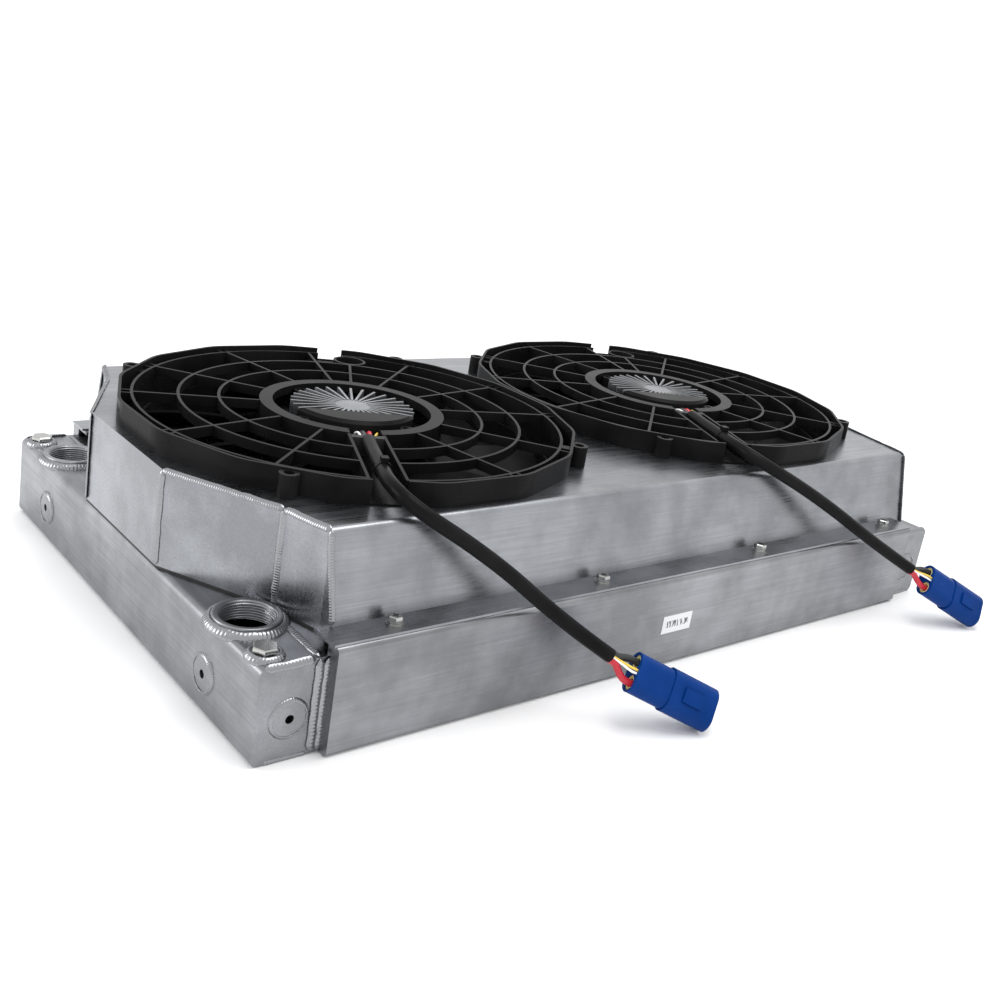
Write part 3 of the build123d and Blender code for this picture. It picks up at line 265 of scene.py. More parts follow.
@dataclass(frozen=True)
class Metal:
    """Bare or plated metal.

    Attributes:
        name: the material's name.
        painted_sheen_colour: colour of the cloudy patches of painted sheen, a painted
            reflection.
        dull: colour between the painted sheen patches; the grain streaks darken towards 0.8
            times it.
        rough: lowest and highest roughness.
        grain: direction of the fine streaks.
        relief: strength of the streaks' relief.
        brushed: how far the gloss is drawn out along the grain.
    """

    name: str
    painted_sheen_colour: Colour
    dull: Colour
    rough: Span
    grain: Along = Along.LENGTH
    relief: float = 0.08
    brushed: float = 0.0

    def build(self) -> bpy.types.Material:
        """Makes the node material.

        Returns:
            the Blender material.
        """
        g = Graph(self.name, self.painted_sheen_colour)
        streaks = g.noise(self.grain.value, 4.0, 5.0, 0.6)
        # Painted sheen: two noises mark cloudy patches where the colour rises from dull to the
        # sheen colour, painted reflections on the metal.
        clouds = g.noise((1.0, 1.0, 1.0), 9.0, 5.0, 0.6)
        small_sheen_patches = g.noise((1.0, 1.3, 1.0), 28.0, 3.0, 0.5)
        both = g.math("ADD", g.math("MULTIPLY", clouds, 0.65),
                      g.math("MULTIPLY", small_sheen_patches, 0.35))
        painted_sheen = g.ramp(both, 0.0, 1.0, 0.40, 0.60)
        base = g.blend(painted_sheen, self.dull, self.painted_sheen_colour)
        worn = g.blend(g.ramp(streaks, 0.0, 0.35, 0.3, 0.7), base,
                       tuple(0.8 * c for c in self.dull))
        g.link(worn, g.surface.inputs["Base Color"])
        mixed = g.math("ADD", g.math("MULTIPLY", streaks, 0.6), g.math("MULTIPLY", both, 0.4))
        g.link(g.ramp(mixed, self.rough[0], self.rough[1], 0.35, 0.65),
               g.surface.inputs["Roughness"])
        g.surface.inputs["Metallic"].default_value = 1.0
        g.surface.inputs["Anisotropic"].default_value = self.brushed
        g.bump(streaks, self.relief)
        return g.material


@dataclass(frozen=True)
class Moulding:
    """Plastic or rubber with a faint texture.

    Attributes:
        name: the material's name.
        colour: base colour.
        rough: lowest and highest roughness.
        relief: strength of the surface texture.
        size: frequency of the texture.
        coat: strength of a clear gloss layer.
        gloss: how strongly it reflects.
    """

    name: str
    colour: Colour
    rough: Span = (0.32, 0.5)
    relief: float = 0.05
    size: float = 220.0
    coat: float = 0.0
    gloss: float = 0.5

    def build(self) -> bpy.types.Material:
        """Makes the node material.

        Returns:
            the Blender material.
        """
        g = Graph(self.name, self.colour)
        fine = g.noise((1.0, 1.0, 1.0), self.size, 3.0)
        wide = g.noise((1.0, 1.0, 1.0), 18.0, 4.0)
        dusty = tuple(min(1.0, c * 1.35 + 0.004) for c in self.colour)
        g.link(g.blend(g.ramp(wide, 0.0, 1.0, 0.35, 0.7), self.colour, dusty),
               g.surface.inputs["Base Color"])
        g.link(g.ramp(wide, self.rough[0], self.rough[1], 0.3, 0.7),
               g.surface.inputs["Roughness"])
        g.surface.inputs["Coat Weight"].default_value = self.coat
        g.surface.inputs["Specular IOR Level"].default_value = self.gloss
        g.bump(fine, self.relief, 0.0002)
        return g.material


@dataclass(frozen=True)
class BeadFinish:
    """Weld bead metal: painted highlights on the ripple crests and painted shade between them,
    by a stored value, with a fine speckle.
    """

    name: str = "weld_bead"

    def build(self) -> bpy.types.Material:
        """Makes the node material, with painted highlights on the ripple crests and painted
        shade between them, read from the stored crest attribute.

        Returns:
            the Blender material.
        """
        g = Graph(self.name, (0.8, 0.8, 0.82))
        heat = g.add("ShaderNodeAttribute", attribute_name="heat")
        speckle = g.noise((1.0, 1.0, 1.0), 420.0, 3.0)
        # Painted highlight on the ripple crests and painted shade between them, mixed with a
        # random speckle.
        shade = g.math("ADD", g.math("MULTIPLY", heat.outputs["Fac"], 0.7),
                       g.math("MULTIPLY", speckle, 0.3))
        g.link(g.blend(g.ramp(shade, 0.0, 1.0, 0.2, 0.75), (0.28, 0.285, 0.3),
                       (0.86, 0.87, 0.9)), g.surface.inputs["Base Color"])
        g.link(g.ramp(speckle, 0.2, 0.34, 0.3, 0.7), g.surface.inputs["Roughness"])
        g.surface.inputs["Metallic"].default_value = 1.0
        g.bump(speckle, 0.12, 0.0002)
        return g.material


@dataclass(frozen=True)
class BarredLabel:
    """Plain pale label with a row of short dark strokes."""

    name: str = "label_print"
    centre: Span = (-0.005, 0.041)
    half_height: float = 0.0032
    half_width: float = 0.0150

    def build(self) -> bpy.types.Material:
        """Makes the node material.

        The strokes are where a coarse noise along X is dark, within a band of height.

        Returns:
            the Blender material.
        """
        g = Graph(self.name, (0.8, 0.8, 0.8))
        place = g.add("ShaderNodeTexCoord")
        split = g.add("ShaderNodeSeparateXYZ")
        g.link(place.outputs["Object"], split.inputs["Vector"])
        strokes = g.noise((1.0, 0.0, 0.25), 620.0, 0.0)
        dark = g.math("LESS_THAN", strokes, 0.47)
        high = g.math("ABSOLUTE", g.math("SUBTRACT", split.outputs["Z"], self.centre[1]), 0.0)
        wide = g.math("ABSOLUTE", g.math("SUBTRACT", split.outputs["X"], self.centre[0]), 0.0)
        band = g.math("MULTIPLY", g.math("LESS_THAN", high, self.half_height),
                      g.math("LESS_THAN", wide, self.half_width))
        g.link(g.blend(g.math("MULTIPLY", dark, band), (0.74, 0.75, 0.77), (0.1, 0.1, 0.12)),
               g.surface.inputs["Base Color"])
        g.surface.inputs["Roughness"].default_value = 0.45
        return g.material


class Finishes:
    """All of the object's finishes, made once and handed out by material slot."""

    def __init__(self) -> None:
        """Makes every finish."""
        # Each Metal's first colour is its painted sheen, a painted reflection in cloudy
        # patches; its second lies between them.
        painted_sheen_colour = (0.33, 0.34, 0.36)
        self.by_slot = {
            "welded_aluminium": Metal("tank_aluminium", painted_sheen_colour, (0.19, 0.195, 0.205),
                                      (0.26, 0.42), Along.DEPTH).build(),
            "core_aluminium": Metal("core_aluminium", (0.3, 0.31, 0.32), (0.2, 0.2, 0.21),
                                    (0.4, 0.6), Along.NONE).build(),
            "channel_aluminium": Metal("channel_aluminium", painted_sheen_colour, (0.2, 0.205, 0.215),
                                       (0.25, 0.4), Along.LENGTH).build(),
            "shroud_aluminium": Metal("shroud_aluminium", (0.35, 0.362, 0.385),
                                      (0.23, 0.238, 0.255), (0.22, 0.38), Along.LENGTH).build(),
            "cast_aluminium": Metal("cast_aluminium", (0.4, 0.41, 0.43), (0.24, 0.25, 0.26),
                                    (0.34, 0.5), Along.NONE, 0.2).build(),
            "zinc_steel": Metal("zinc_steel", (0.62, 0.62, 0.6), (0.38, 0.38, 0.37),
                                (0.12, 0.26), Along.NONE).build(),
            "black_steel": Metal("black_steel", (0.05, 0.05, 0.05), (0.02, 0.02, 0.02),
                                 (0.3, 0.5), Along.NONE).build(),
            "black_plastic": Moulding("black_plastic", (0.007, 0.007, 0.0075), (0.2, 0.34),
                                      0.04, 220.0, 0.0, 0.035).build(),
            "black_rubber": Moulding("black_rubber", (0.014, 0.014, 0.014), (0.55, 0.75),
                                     0.1).build(),
            "lead_sleeve": Moulding("lead_sleeve", (0.006, 0.006, 0.0065), (0.22, 0.4), 0.12,
                                    140.0, 0.0, 0.04).build(),
            "wire_insulation": Moulding("red_insulation", (0.42, 0.01, 0.025),
                                        (0.3, 0.42)).build(),
            "seal_rubber": Moulding("seal_rubber", (0.68, 0.6, 0.26), (0.4, 0.55)).build(),
            "blue_plastic": Moulding("blue_plastic", (0.0, 0.026, 0.145), (0.2, 0.3),
                                     0.08, 160.0, 0.0, 0.07).build(),
            "circuit_board": Moulding("circuit_board", (0.01, 0.09, 0.03), (0.25, 0.4)).build(),
            "dark_iron": Metal("dark_iron", (0.2, 0.2, 0.21), (0.1, 0.1, 0.1), (0.4, 0.6),
                               Along.HEIGHT).build(),
            "copper": Metal("copper", (0.72, 0.32, 0.16), (0.5, 0.2, 0.1), (0.25, 0.4),
                            Along.NONE).build(),
            "label": BarredLabel().build(),
        }
        self.bead = BeadFinish().build()
        self.black_wire = Moulding("black_insulation", (0.014, 0.014, 0.015)).build()
        self.yellow_wire = Moulding("yellow_insulation", (0.6, 0.42, 0.05)).build()
        self.white_wire = Moulding("white_insulation", (0.75, 0.75, 0.74)).build()

    def dress_nodes(self, record: dict, nodes: dict[str, bpy.types.Object]) -> None:
        """Puts the slot's finish on every solid that stays visible.

        Args:
            record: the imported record.
            nodes: the solids by name.
        """
        for entry in record["subparts"]:
            solid = nodes[entry["node"]]
            solid.data.materials.clear()
            solid.data.materials.append(self.by_slot[entry["material_slot"]])
        log.info("dressed %d solids", len(nodes))


# ---------------------------------------------------------------- mesh building
class Surface:
    """Vertices and faces gathered before one mesh object is made."""

    def __init__(self) -> None:
        """Starts with no points."""
        self.points: list[np.ndarray] = []
        self.quads: list[list[int]] = []
        self.heat: list[np.ndarray] = []
        self.count = 0

    def loft(self, rings: np.ndarray, heat: np.ndarray | None = None,
             closed: bool = False) -> None:
        """Joins rings of equal size into a tube, capped at its ends.

        Args:
            rings: array of shape (n, m, 3); each ring runs anticlockwise seen from the end.
            heat: array (n, m) stored with the points, or None; the beads keep their ripple
                crests here for the painted highlights.
            closed: whether the last ring joins the first.
        """
        n, m, _ = rings.shape
        base = self.count
        self.points.append(rings.reshape(-1, 3))
        self.heat.append(np.zeros(n * m) if heat is None else heat.reshape(-1))
        rows = np.arange(n if closed else n - 1)[:, None]
        cols = np.arange(m)[None, :]
        after = (cols + 1) % m
        a = base + rows * m + cols
        b = base + rows * m + after
        c = base + (rows + 1) % n * m + after
        d = base + (rows + 1) % n * m + cols
        self.quads += np.stack([a, b, c, d], axis=-1).reshape(-1, 4).tolist()
        if not closed:
            self.quads.append(list(range(base + m - 1, base - 1, -1)))
            self.quads.append(list(range(base + (n - 1) * m, base + n * m)))
        self.count += n * m

    def make(self, name: str, material: bpy.types.Material, body: str = "frame",
             smooth: bool = True, with_crest_glint: bool = False) -> bpy.types.Object:
        """Makes the object and lets it ride on a body.

        Args:
            name: the piece's name.
            material: its finish.
            body: the body it moves with.
            smooth: whether faces are shaded smooth.
            with_crest_glint: whether to store the crest attribute that carries the beads'
                painted highlights.

        Returns:
            the Blender object.
        """
        mesh = bpy.data.meshes.new(name)
        mesh.from_pydata(np.concatenate(self.points), [], self.quads)
        if with_crest_glint:
            layer = mesh.attributes.new("heat", "FLOAT", "POINT")
            layer.data.foreach_set("value", np.concatenate(self.heat).astype(np.float32))
        mesh.polygons.foreach_set("use_smooth", [smooth] * len(mesh.polygons))
        mesh.materials.append(material)
        mesh.update()
        piece = bpy.data.objects.new(name, mesh)
        bpy.context.scene.collection.objects.link(piece)
        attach(piece, body)
        return piece


def resample(path: np.ndarray | list, step: float) -> tuple[np.ndarray, np.ndarray]:
    """Evenly spaced points along a path.

    Args:
        path: array (n, 3).
        step: spacing, metres.

    Returns:
        array of points and the distance of each along the path.
    """
    path = np.asarray(path, float)
    along = np.concatenate([[0], np.cumsum(np.linalg.norm(np.diff(path, axis=0), axis=1))])
    at = np.linspace(0, along[-1], max(3, int(along[-1] / step) + 1))
    return np.stack([np.interp(at, along, path[:, k]) for k in range(3)], axis=1), at


def frames(path: np.ndarray, up: np.ndarray | Point,
           closed: bool = False) -> tuple[np.ndarray, np.ndarray, np.ndarray]:
    """Tangent, outward and sideways unit vectors at each point of a path.

    Args:
        path: array (n, 3).
        up: outward direction, one for all or one for each point.
        closed: whether the path is a loop.

    Returns:
        three arrays (n, 3).
    """
    if closed:
        tangent = np.roll(path, -1, axis=0) - np.roll(path, 1, axis=0)
    else:
        tangent = np.gradient(path, axis=0)
    tangent /= np.linalg.norm(tangent, axis=1, keepdims=True)
    up = np.broadcast_to(np.asarray(up, float), path.shape)
    out = up - (up * tangent).sum(1, keepdims=True) * tangent
    out /= np.linalg.norm(out, axis=1, keepdims=True)
    return tangent, out, np.cross(tangent, out)


def round_tube(surface: Surface, path: np.ndarray, radius: float, sides: int,
               up: np.ndarray | Point = (0.3, 0.2, 0.93)) -> None:
    """Adds a plain round tube along a path to a surface.

    Args:
        surface: where it is added.
        path: array (n, 3).
        radius: its radius, metres.
        sides: points round the tube.
        up: a direction never parallel to the path.
    """
    path = np.asarray(path, float)
    _, out, side = frames(path, up)
    angle = np.linspace(0, 2 * math.pi, sides, endpoint=False)
    rings = (path[:, None] + radius * (np.cos(angle)[None, :, None] * out[:, None]
                                       + np.sin(angle)[None, :, None] * side[:, None]))
    surface.loft(rings)


def smooth_curve(points: np.ndarray | list, count: int) -> np.ndarray:
    """Points along a Catmull-Rom curve through the given points.

    Args:
        points: control points.
        count: points for each span.

    Returns:
        array of points.
    """
    p = np.asarray(points, float)
    p = np.vstack([2 * p[0] - p[1], p, 2 * p[-1] - p[-2]])
    t = np.linspace(0, 1, count, endpoint=False)[:, None]
    spans = []
    for a, b, c, d in zip(p, p[1:], p[2:], p[3:]):
        spans.append(0.5 * (2 * b + (c - a) * t + (2 * a - 5 * b + 4 * c - d) * t ** 2
                            + (3 * b - a - 3 * c + d) * t ** 3))
    return np.vstack(spans + [p[-2][None]])


# ---------------------------------------------------------------- weld beads
@dataclass
class BeadRun:
    """One run of weld bead.

    Attributes:
        path: points it follows, metres.
        out: direction it swells towards.
        half_width: half its width.
        height: how far it stands out.
        pitch: distance from ripple to ripple.
        closed: whether it is a ring.
        seed: start of its unevenness.
        focus: a point that it swells away from, for a ring.
    """

    path: np.ndarray
    out: np.ndarray | Point
    half_width: float = 0.0030
    height: float = 0.0016
    pitch: float = 0.0019
    closed: bool = False
    seed: int = 0
    focus: tuple | None = None

    def add_to(self, surface: Surface) -> None:
        """Adds the bead's skin to a surface.

        With s along the run and a round it, a point stands out by
        h(s, a) = height * cos(a) * (0.72 + 0.28 * |cos(pi * (s + 0.9 w sin(a)^2) / pitch)|),
        so each ripple is a crescent that trails at the sides.

        Args:
            surface: where it is added.
        """
        points, s = resample(self.path, 0.00045)
        if self.closed:
            points, s = points[:-1], s[:-1]
        out = self.out if self.focus is None else points - np.array(self.focus)
        tangent, out, side = frames(points, out, self.closed)
        angle = np.linspace(0, 2 * math.pi, 14, endpoint=False)
        rng = np.random.default_rng(self.seed)
        knots = np.linspace(0, s[-1] + 1e-6, max(4, int(s[-1] / 0.006)))
        wander = np.interp(s, knots, rng.normal(0, 0.00018, len(knots)))
        swell = np.interp(s, knots, 1 + rng.normal(0, 0.05, len(knots)))
        if self.closed:
            fade = np.clip(s / 0.004, 0, 1)
            wander, swell = wander * fade, 1 + (swell - 1) * fade
            taper = np.ones_like(s)
        else:
            reach = np.minimum(s, s[-1] - s)
            taper = np.sqrt(np.clip(reach / (1.1 * self.half_width), 0.02, 1))
        phase = (s[:, None] + self.half_width * 0.9 * np.sin(angle)[None] ** 2) / self.pitch
        ripple = np.abs(np.cos(math.pi * phase))
        lift = np.where(np.cos(angle) > 0, np.cos(angle), 0.35 * np.cos(angle))[None]
        rise = self.height * lift * np.where(lift > 0, 0.72 + 0.28 * ripple, 1.0)
        rise = rise * (taper * swell)[:, None]
        across = self.half_width * np.sin(angle)[None] * (taper * swell)[:, None]
        across = across * (0.96 + 0.04 * ripple) + wander[:, None]
        rings = (points[:, None] + rise[..., None] * out[:, None]
                 + across[..., None] * side[:, None])
        # The ripple goes with the points; the bead finish paints a highlight on each crest and
        # shade between them.
        surface.loft(rings[:, ::-1], ripple[:, ::-1], closed=self.closed)


def ring_path(centre: np.ndarray | Point, radius: float,
              normal: np.ndarray | Point = (0.0, 0.0, 1.0), count: int = 220) -> np.ndarray:
    """Closed circle, ending where it starts.

    Args:
        centre: its middle, metres.
        radius: its radius, metres.
        normal: the way it faces.
        count: points on it.

    Returns:
        array (count, 3).
    """
    normal = unit(normal)
    first = unit(np.cross(normal, (0.31, 0.52, 0.79)))
    second = np.cross(normal, first)
    angle = np.linspace(0, 2 * math.pi, count)[:, None]
    return np.asarray(centre) + radius * (np.cos(angle) * first + np.sin(angle) * second)


@dataclass
class WeldWork:
    """All weld beads on the tanks and the shroud."""

    layout: Layout
    finishes: Finishes
    made: list = field(default_factory=list)

    def tank_runs(self, side: int) -> list[BeadRun]:
        """Beads on one tank: its joints with the header and channels, its end plates.

        Args:
            side: -1 for the tank with the ports, 1 for the other.

        Returns:
            list of runs.
        """
        d = self.layout
        runs = []
        for end in (-1, 1):
            face = end * d.half_depth
            for x, push, seed in ((d.joint_x, 0.0004, 1), (d.header_x + 0.0008, 0.0012, 2)):
                path = [(side * x, face + end * push, 0.0015),
                        (side * x, face + end * push, d.tank_height - 0.001)]
                runs.append(BeadRun(path, (0, end, 0), 0.0040, 0.0022, 0.0030,
                                    seed=seed + 5 + 3 * end))
            outer = d.half_length - 0.004
            top_z = d.tank_height - 0.0004
            path = [(side * outer, face, top_z), (side * (d.joint_x + 0.004), face, top_z)]
            runs.append(BeadRun(path, (0, end, 0.9), 0.0034, 0.0016, 0.0028, seed=4))
            low = [(side * (d.half_length - 0.010), face, 0.0010),
                   (side * (d.joint_x + 0.003), face, 0.0010)]
            runs.append(BeadRun(low, (0, end, 0.0), 0.0016, 0.0008, 0.0021, seed=5))
        top = [(side * d.joint_x, -d.half_depth + 0.002, d.tank_height),
               (side * d.joint_x, d.half_depth - 0.002, d.tank_height)]
        runs.append(BeadRun(top, (0, 0, 1), 0.0032, 0.0015, 0.0027, seed=6))
        return runs

    def ring_runs(self) -> list[BeadRun]:
        """Fillet beads round the hose ports, the bleed bungs and the bosses.

        Returns:
            list of runs.
        """
        d = self.layout
        runs = []
        for y in (-d.port_y, d.port_y):
            runs.append(BeadRun(ring_path((d.port_x, y, d.tank_height + 0.0006), 0.0285),
                                (0, 0, 1), 0.0046, 0.0024, 0.0030, True, 7,
                                (d.port_x, y, d.tank_height - 0.022)))
        for y in (-d.bleed_y, d.bleed_y):
            runs.append(BeadRun(ring_path((d.bleed_x, y, d.tank_height + 0.0005), 0.0122),
                                (0, 0, 1), 0.0036, 0.0019, 0.0026, True, 8,
                                (d.bleed_x, y, d.tank_height - 0.009)))
        for x, y, normal in d.bosses():
            face = np.array([x, y, d.boss_z]) + 0.0003 * np.array(normal)
            runs.append(BeadRun(ring_path(face, 0.0146, normal), normal, 0.0022, 0.0011,
                                0.0019, True, 9, tuple(face - 0.012 * np.array(normal))))
        return runs

    def shroud_runs(self) -> list[BeadRun]:
        """Beads down the shroud's corners and along its welded top edges.

        Returns:
            list of runs.
        """
        d = self.layout
        runs = []
        low, high = d.shroud_foot, d.shroud_top
        # plan place of each corner, how far its foot leans out, its foot's height
        corners = [(-0.355, -0.214, 0.0149, 0.0885), (-0.368, -0.169, 0.0, low),
                   (-0.419, -0.073, 0.0, low), (0.386, -0.214, 0.0165, 0.0800),
                   (0.419, -0.073, 0.0, low)]
        places = [corner[:2] for corner in corners]
        for m in (1, -1):
            for n, (x, y, lean, foot_z) in enumerate(corners):
                foot = (x, (y - lean) * m, foot_z)
                out = (math.copysign(1, x), -0.55 * m, 0.0)
                runs.append(BeadRun([foot, (x, y * m, high - 0.001)], out, 0.0031, 0.0016,
                                    0.0021, seed=20 + n))
            for (ax, ay), (bx, by) in (places[0:2], places[1:3], places[3:5]):
                out = (math.copysign(1, ax), -0.2 * m, 0.9)
                runs.append(BeadRun([(ax, ay * m, high - 0.0006), (bx, by * m, high - 0.0006)],
                                    out, 0.0030, 0.0015, 0.0020, seed=30))
        return runs

    def build(self) -> None:
        """Makes the bead pieces."""
        groups = {
            "left_tank_beads": self.tank_runs(-1),
            "right_tank_beads": self.tank_runs(1),
            "port_beads": self.ring_runs(),
            "shroud_beads": self.shroud_runs(),
        }
        for name, runs in groups.items():
            skin = Surface()
            for run in runs:
                run.add_to(skin)
            self.made.append(skin.make(name, self.finishes.bead,
                                       with_crest_glint=True))
            log.info("%s has %d points", name, skin.count)


# ---------------------------------------------------------------- threaded ports
@dataclass
class ThreadedPort:
    """Hose port with a real helical thread, in place of the plain one.

    Attributes:
        node: the solid it stands for.
        centre: its axis in plan.
        finish: its material.
    """

    node: str
    centre: Span
    finish: bpy.types.Material
    pitch: float = 2.117
    root_radius: float = 20.9
    thread_depth: float = 1.25
    first_turn: float = 80.8
    last_turn: float = 66.6

    def section(self) -> list[Span]:
        """Radius and height of the corners outside the thread, in millimetres."""
        return [(20.9, 66.4), (21.5, 66.9), (21.5, 76.0), (26.0, 76.0), (26.0, 81.0),
                (25.8, 81.6), (25.2, 82.0), (22.4, 82.0), (21.6, 81.6)]

    def build(self) -> bpy.types.Object:
        """Makes the port.

        At angle t round the axis and height z, the bore's radius is the root radius less
        thread_depth times the smaller of 1 and 1.25 tri((z + pitch * t / (2 pi)) / pitch),
        where tri is 1 at a crest and 0 at a root. The thread fades out at both ends.

        Returns:
            the Blender object.
        """
        turns = np.linspace(0, 2 * math.pi, 144, endpoint=False)[:, None]
        heights = np.arange(self.first_turn, self.last_turn, -self.pitch / 8)
        cycle = ((heights + self.pitch * turns / (2 * math.pi)) / self.pitch) % 1.0
        crest = 1 - np.abs(2 * cycle - 1)
        fade = np.minimum(1.0, np.minimum((81.2 - heights) / 1.2, heights - 66.2))
        bore = self.root_radius - self.thread_depth * np.minimum(1.0, crest * 1.25) * fade
        outer = np.array(self.section())
        radius = np.hstack([np.tile(outer[:, 0], (len(turns), 1)), bore]) * MM
        level = np.tile(np.concatenate([outer[:, 1], heights]), (len(turns), 1)) * MM
        rings = np.stack([self.centre[0] + radius * np.cos(turns),
                          self.centre[1] + radius * np.sin(turns), level], axis=2)
        skin = Surface()
        skin.loft(rings[:, ::-1], closed=True)
        piece = skin.make(self.node + "_threaded", self.finish)
        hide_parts(self.node)
        log.info("%s has a thread of %.3f mm pitch", self.node, self.pitch)
        return piece


# ---------------------------------------------------------------- core
@dataclass
class FinPack:
    """Fine folded fins between the tubes."""

    layout: Layout
    finish: bpy.types.Material
    fold: float = 0.0046
    half_crest: float = 0.0006
    half_thickness: float = 0.00012
    clearance: float = 0.0002

    def build(self) -> bpy.types.Object:
        """Makes the fins: in each gap a strip that folds from tube to tube.

        The strip's place across the gap swings between plus and minus
        (fin_height / 2 - clearance) once every two folds, with a short flat at each crest.

        Returns:
            the Blender object.
        """
        d = self.layout
        count = int(2 * (d.header_x - 0.0006) / self.fold)
        folds = np.arange(count + 1)
        reach = d.fin_height / 2 - self.clearance
        xs = ((folds - count / 2) * self.fold)[:, None] + [-self.half_crest, self.half_crest]
        xs = xs.reshape(-1, 1)
        ys = np.repeat(np.where(folds % 2, reach, -reach), 2)[:, None]
        sides = self.half_thickness * np.array([-1, 1, 1, -1])
        levels = np.array([d.core_low, d.core_low, d.core_high, d.core_high])
        skin = Surface()
        for k in range(d.tube_count + 1):
            y0 = (k - d.tube_count / 2) * d.tube_pitch
            skin.loft(np.stack(np.broadcast_arrays(xs + sides, ys + y0, levels), axis=2))
        piece = skin.make("fine_fins", self.finish, smooth=False)
        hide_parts("core_fins")
        log.info("fins fold %d times in each of %d gaps", count, d.tube_count + 1)
        return piece


# ---------------------------------------------------------------- leads
@dataclass(frozen=True)
class PlugPlace:
    """Where a plug lies: nose on the floor, turned and rolled.

    Attributes:
        nose: the nose's place in plan, metres.
        azimuth: heading of the nose from +X, degrees.
        pitch: how far the nose points down, degrees.
        roll: turn about the plug's own length, degrees.
        length: its length, metres.
        flat: width of the flat on its side, metres.
        radius: radius of its rounded edges, metres.
        gap: how far it lies off the floor, metres.
    """

    nose: tuple[float, float]
    azimuth: float
    pitch: float
    roll: float
    length: float = 0.076
    flat: float = 0.015
    radius: float = 0.011
    gap: float = 0.00005

    def axes(self) -> tuple[np.ndarray, np.ndarray, np.ndarray]:
        """Works out the plug's rear face and directions.

        Returns:
            the middle of the rear face, the direction to the nose, the wide direction.
        """
        a, p, r = (math.radians(v) for v in (self.azimuth, self.pitch, self.roll))
        ahead = np.array([math.cos(a) * math.cos(p), math.sin(a) * math.cos(p), -math.sin(p)])
        side = np.array([math.sin(a), -math.cos(a), 0.0])
        up = np.cross(ahead, side)
        up = up if up[2] > 0 else -up
        wide = math.cos(r) * up + math.sin(r) * side
        drop = (self.flat / 2 * abs(wide[2])
                + self.radius * math.sqrt(1 - ahead[2] ** 2) + self.gap)
        nose = np.array([self.nose[0], self.nose[1], drop])
        return nose - self.length * ahead, ahead, wide


@dataclass
class Lead:
    """A fan's lead: shrink sleeve, four wires and the plug that they go into.

    Attributes:
        side: "left" or "right".
        route: control points of the sleeve, metres.
        plug: where the plug lies.
        finishes: the object's finishes.
        radius: the sleeve's radius, metres.
        cavity: distance from the plug's middle to each thick wire, metres.
    """

    side: str
    route: list[tuple[float, float, float]]
    plug: PlugPlace
    finishes: Finishes
    radius: float = 0.006
    cavity: float = 0.0085

    def curve(self, bevel: float) -> bpy.types.Object:
        """Makes the sleeve's line as one NURBS spline through the control points.

        Args:
            bevel: radius of its round section, or 0 for the bare line.

        Returns:
            the curve object.
        """
        curve = bpy.data.curves.new(self.side + "_sleeve", "CURVE")
        curve.dimensions = "3D"
        curve.bevel_depth = bevel
        curve.bevel_resolution = 8
        curve.resolution_u = 24
        curve.use_fill_caps = bevel > 0
        line = curve.splines.new("NURBS")
        line.points.add(len(self.route) - 1)
        for knot, place in zip(line.points, self.route):
            knot.co = (*place, 1.0)
        line.order_u = 3
        line.use_endpoint_u = True
        piece = bpy.data.objects.new(self.side + "_sleeve", curve)
        bpy.context.scene.collection.objects.link(piece)
        return piece

    def length(self) -> float:
        """Measures the sleeve's line.

        Returns:
            its length in metres.
        """
        line = self.curve(0.0)
        bpy.context.view_layer.update()
        mesh = bpy.data.meshes.new_from_object(
            line.evaluated_get(bpy.context.evaluated_depsgraph_get()))
        points = np.array([v.co for v in mesh.vertices])
        bpy.data.objects.remove(line)
        bpy.data.meshes.remove(mesh)
        return float(np.linalg.norm(np.diff(points, axis=0), axis=1).sum())

    def sleeve(self) -> bpy.types.Object:
        """Makes the sleeve.

        Returns:
            the curve object.
        """
        piece = self.curve(self.radius)
        piece.data.materials.append(self.finishes.by_slot["lead_sleeve"])
        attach(piece, "frame")
        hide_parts(self.side + "_lead")
        return piece

    def wires(self) -> list[bpy.types.Object]:
        """Makes the two thick and two thin wires between the sleeve and the plug.

        Returns:
            the pieces, which stand in for the solid wires.
        """
        rear, ahead, wide = self.plug.axes()
        end = np.array(self.route[-1])
        last = unit(end - np.array(self.route[-2]))
        thin = np.cross(ahead, wide)
        thin = thin if thin[2] > 0 else -thin
        looks = [
            ("red_wire", self.finishes.by_slot["wire_insulation"], -self.cavity, 0.0, 0.0030),
            ("black_wire", self.finishes.black_wire, self.cavity, 0.0, 0.0030),
            ("yellow_wire", self.finishes.yellow_wire, 0.0012, 0.0074, 0.0010),
            ("white_wire", self.finishes.white_wire, -0.0014, 0.0070, 0.0010),
        ]
        pieces = []
        for name, material, across, lift, radius in looks:
            spread = across * wide + lift * thin
            deep = 0.010 if lift == 0.0 else 0.0
            start = end + 0.36 * spread - 0.002 * last
            path = smooth_curve(np.array([start, start + 0.008 * last,
                                          rear + spread - 0.006 * ahead,
                                          rear + spread + deep * ahead]), 10)
            skin = Surface()
            round_tube(skin, path, radius, 14, thin)
            pieces.append(skin.make(f"{self.side}_{name}", material))
        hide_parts(self.side + "_plug_wires")
        return pieces

    def build(self, nodes: dict[str, bpy.types.Object]) -> None:
        """Args:
            nodes: the solids by name; not used.
        """
        real = self.length()
        sleeve = self.sleeve()
        wires = self.wires()
        log.info("%s lead is %.4f m long", self.side, real)


LEFT_ROUTE = [(-0.2446, -0.0868, 0.1725), (-0.2653, -0.1301, 0.1735),
              (-0.3008, -0.2129, 0.1750), (-0.2320, -0.2500, 0.1325),
              (-0.1758, -0.2810, 0.0838), (-0.1389, -0.3030, 0.0581)]
RIGHT_ROUTE = [(0.1674, -0.0868, 0.1725), (0.1467, -0.1301, 0.1735),
               (0.1096, -0.2165, 0.1750), (0.1940, -0.2410, 0.1350),
               (0.2799, -0.2711, 0.0826), (0.3197, -0.2910, 0.0599)]


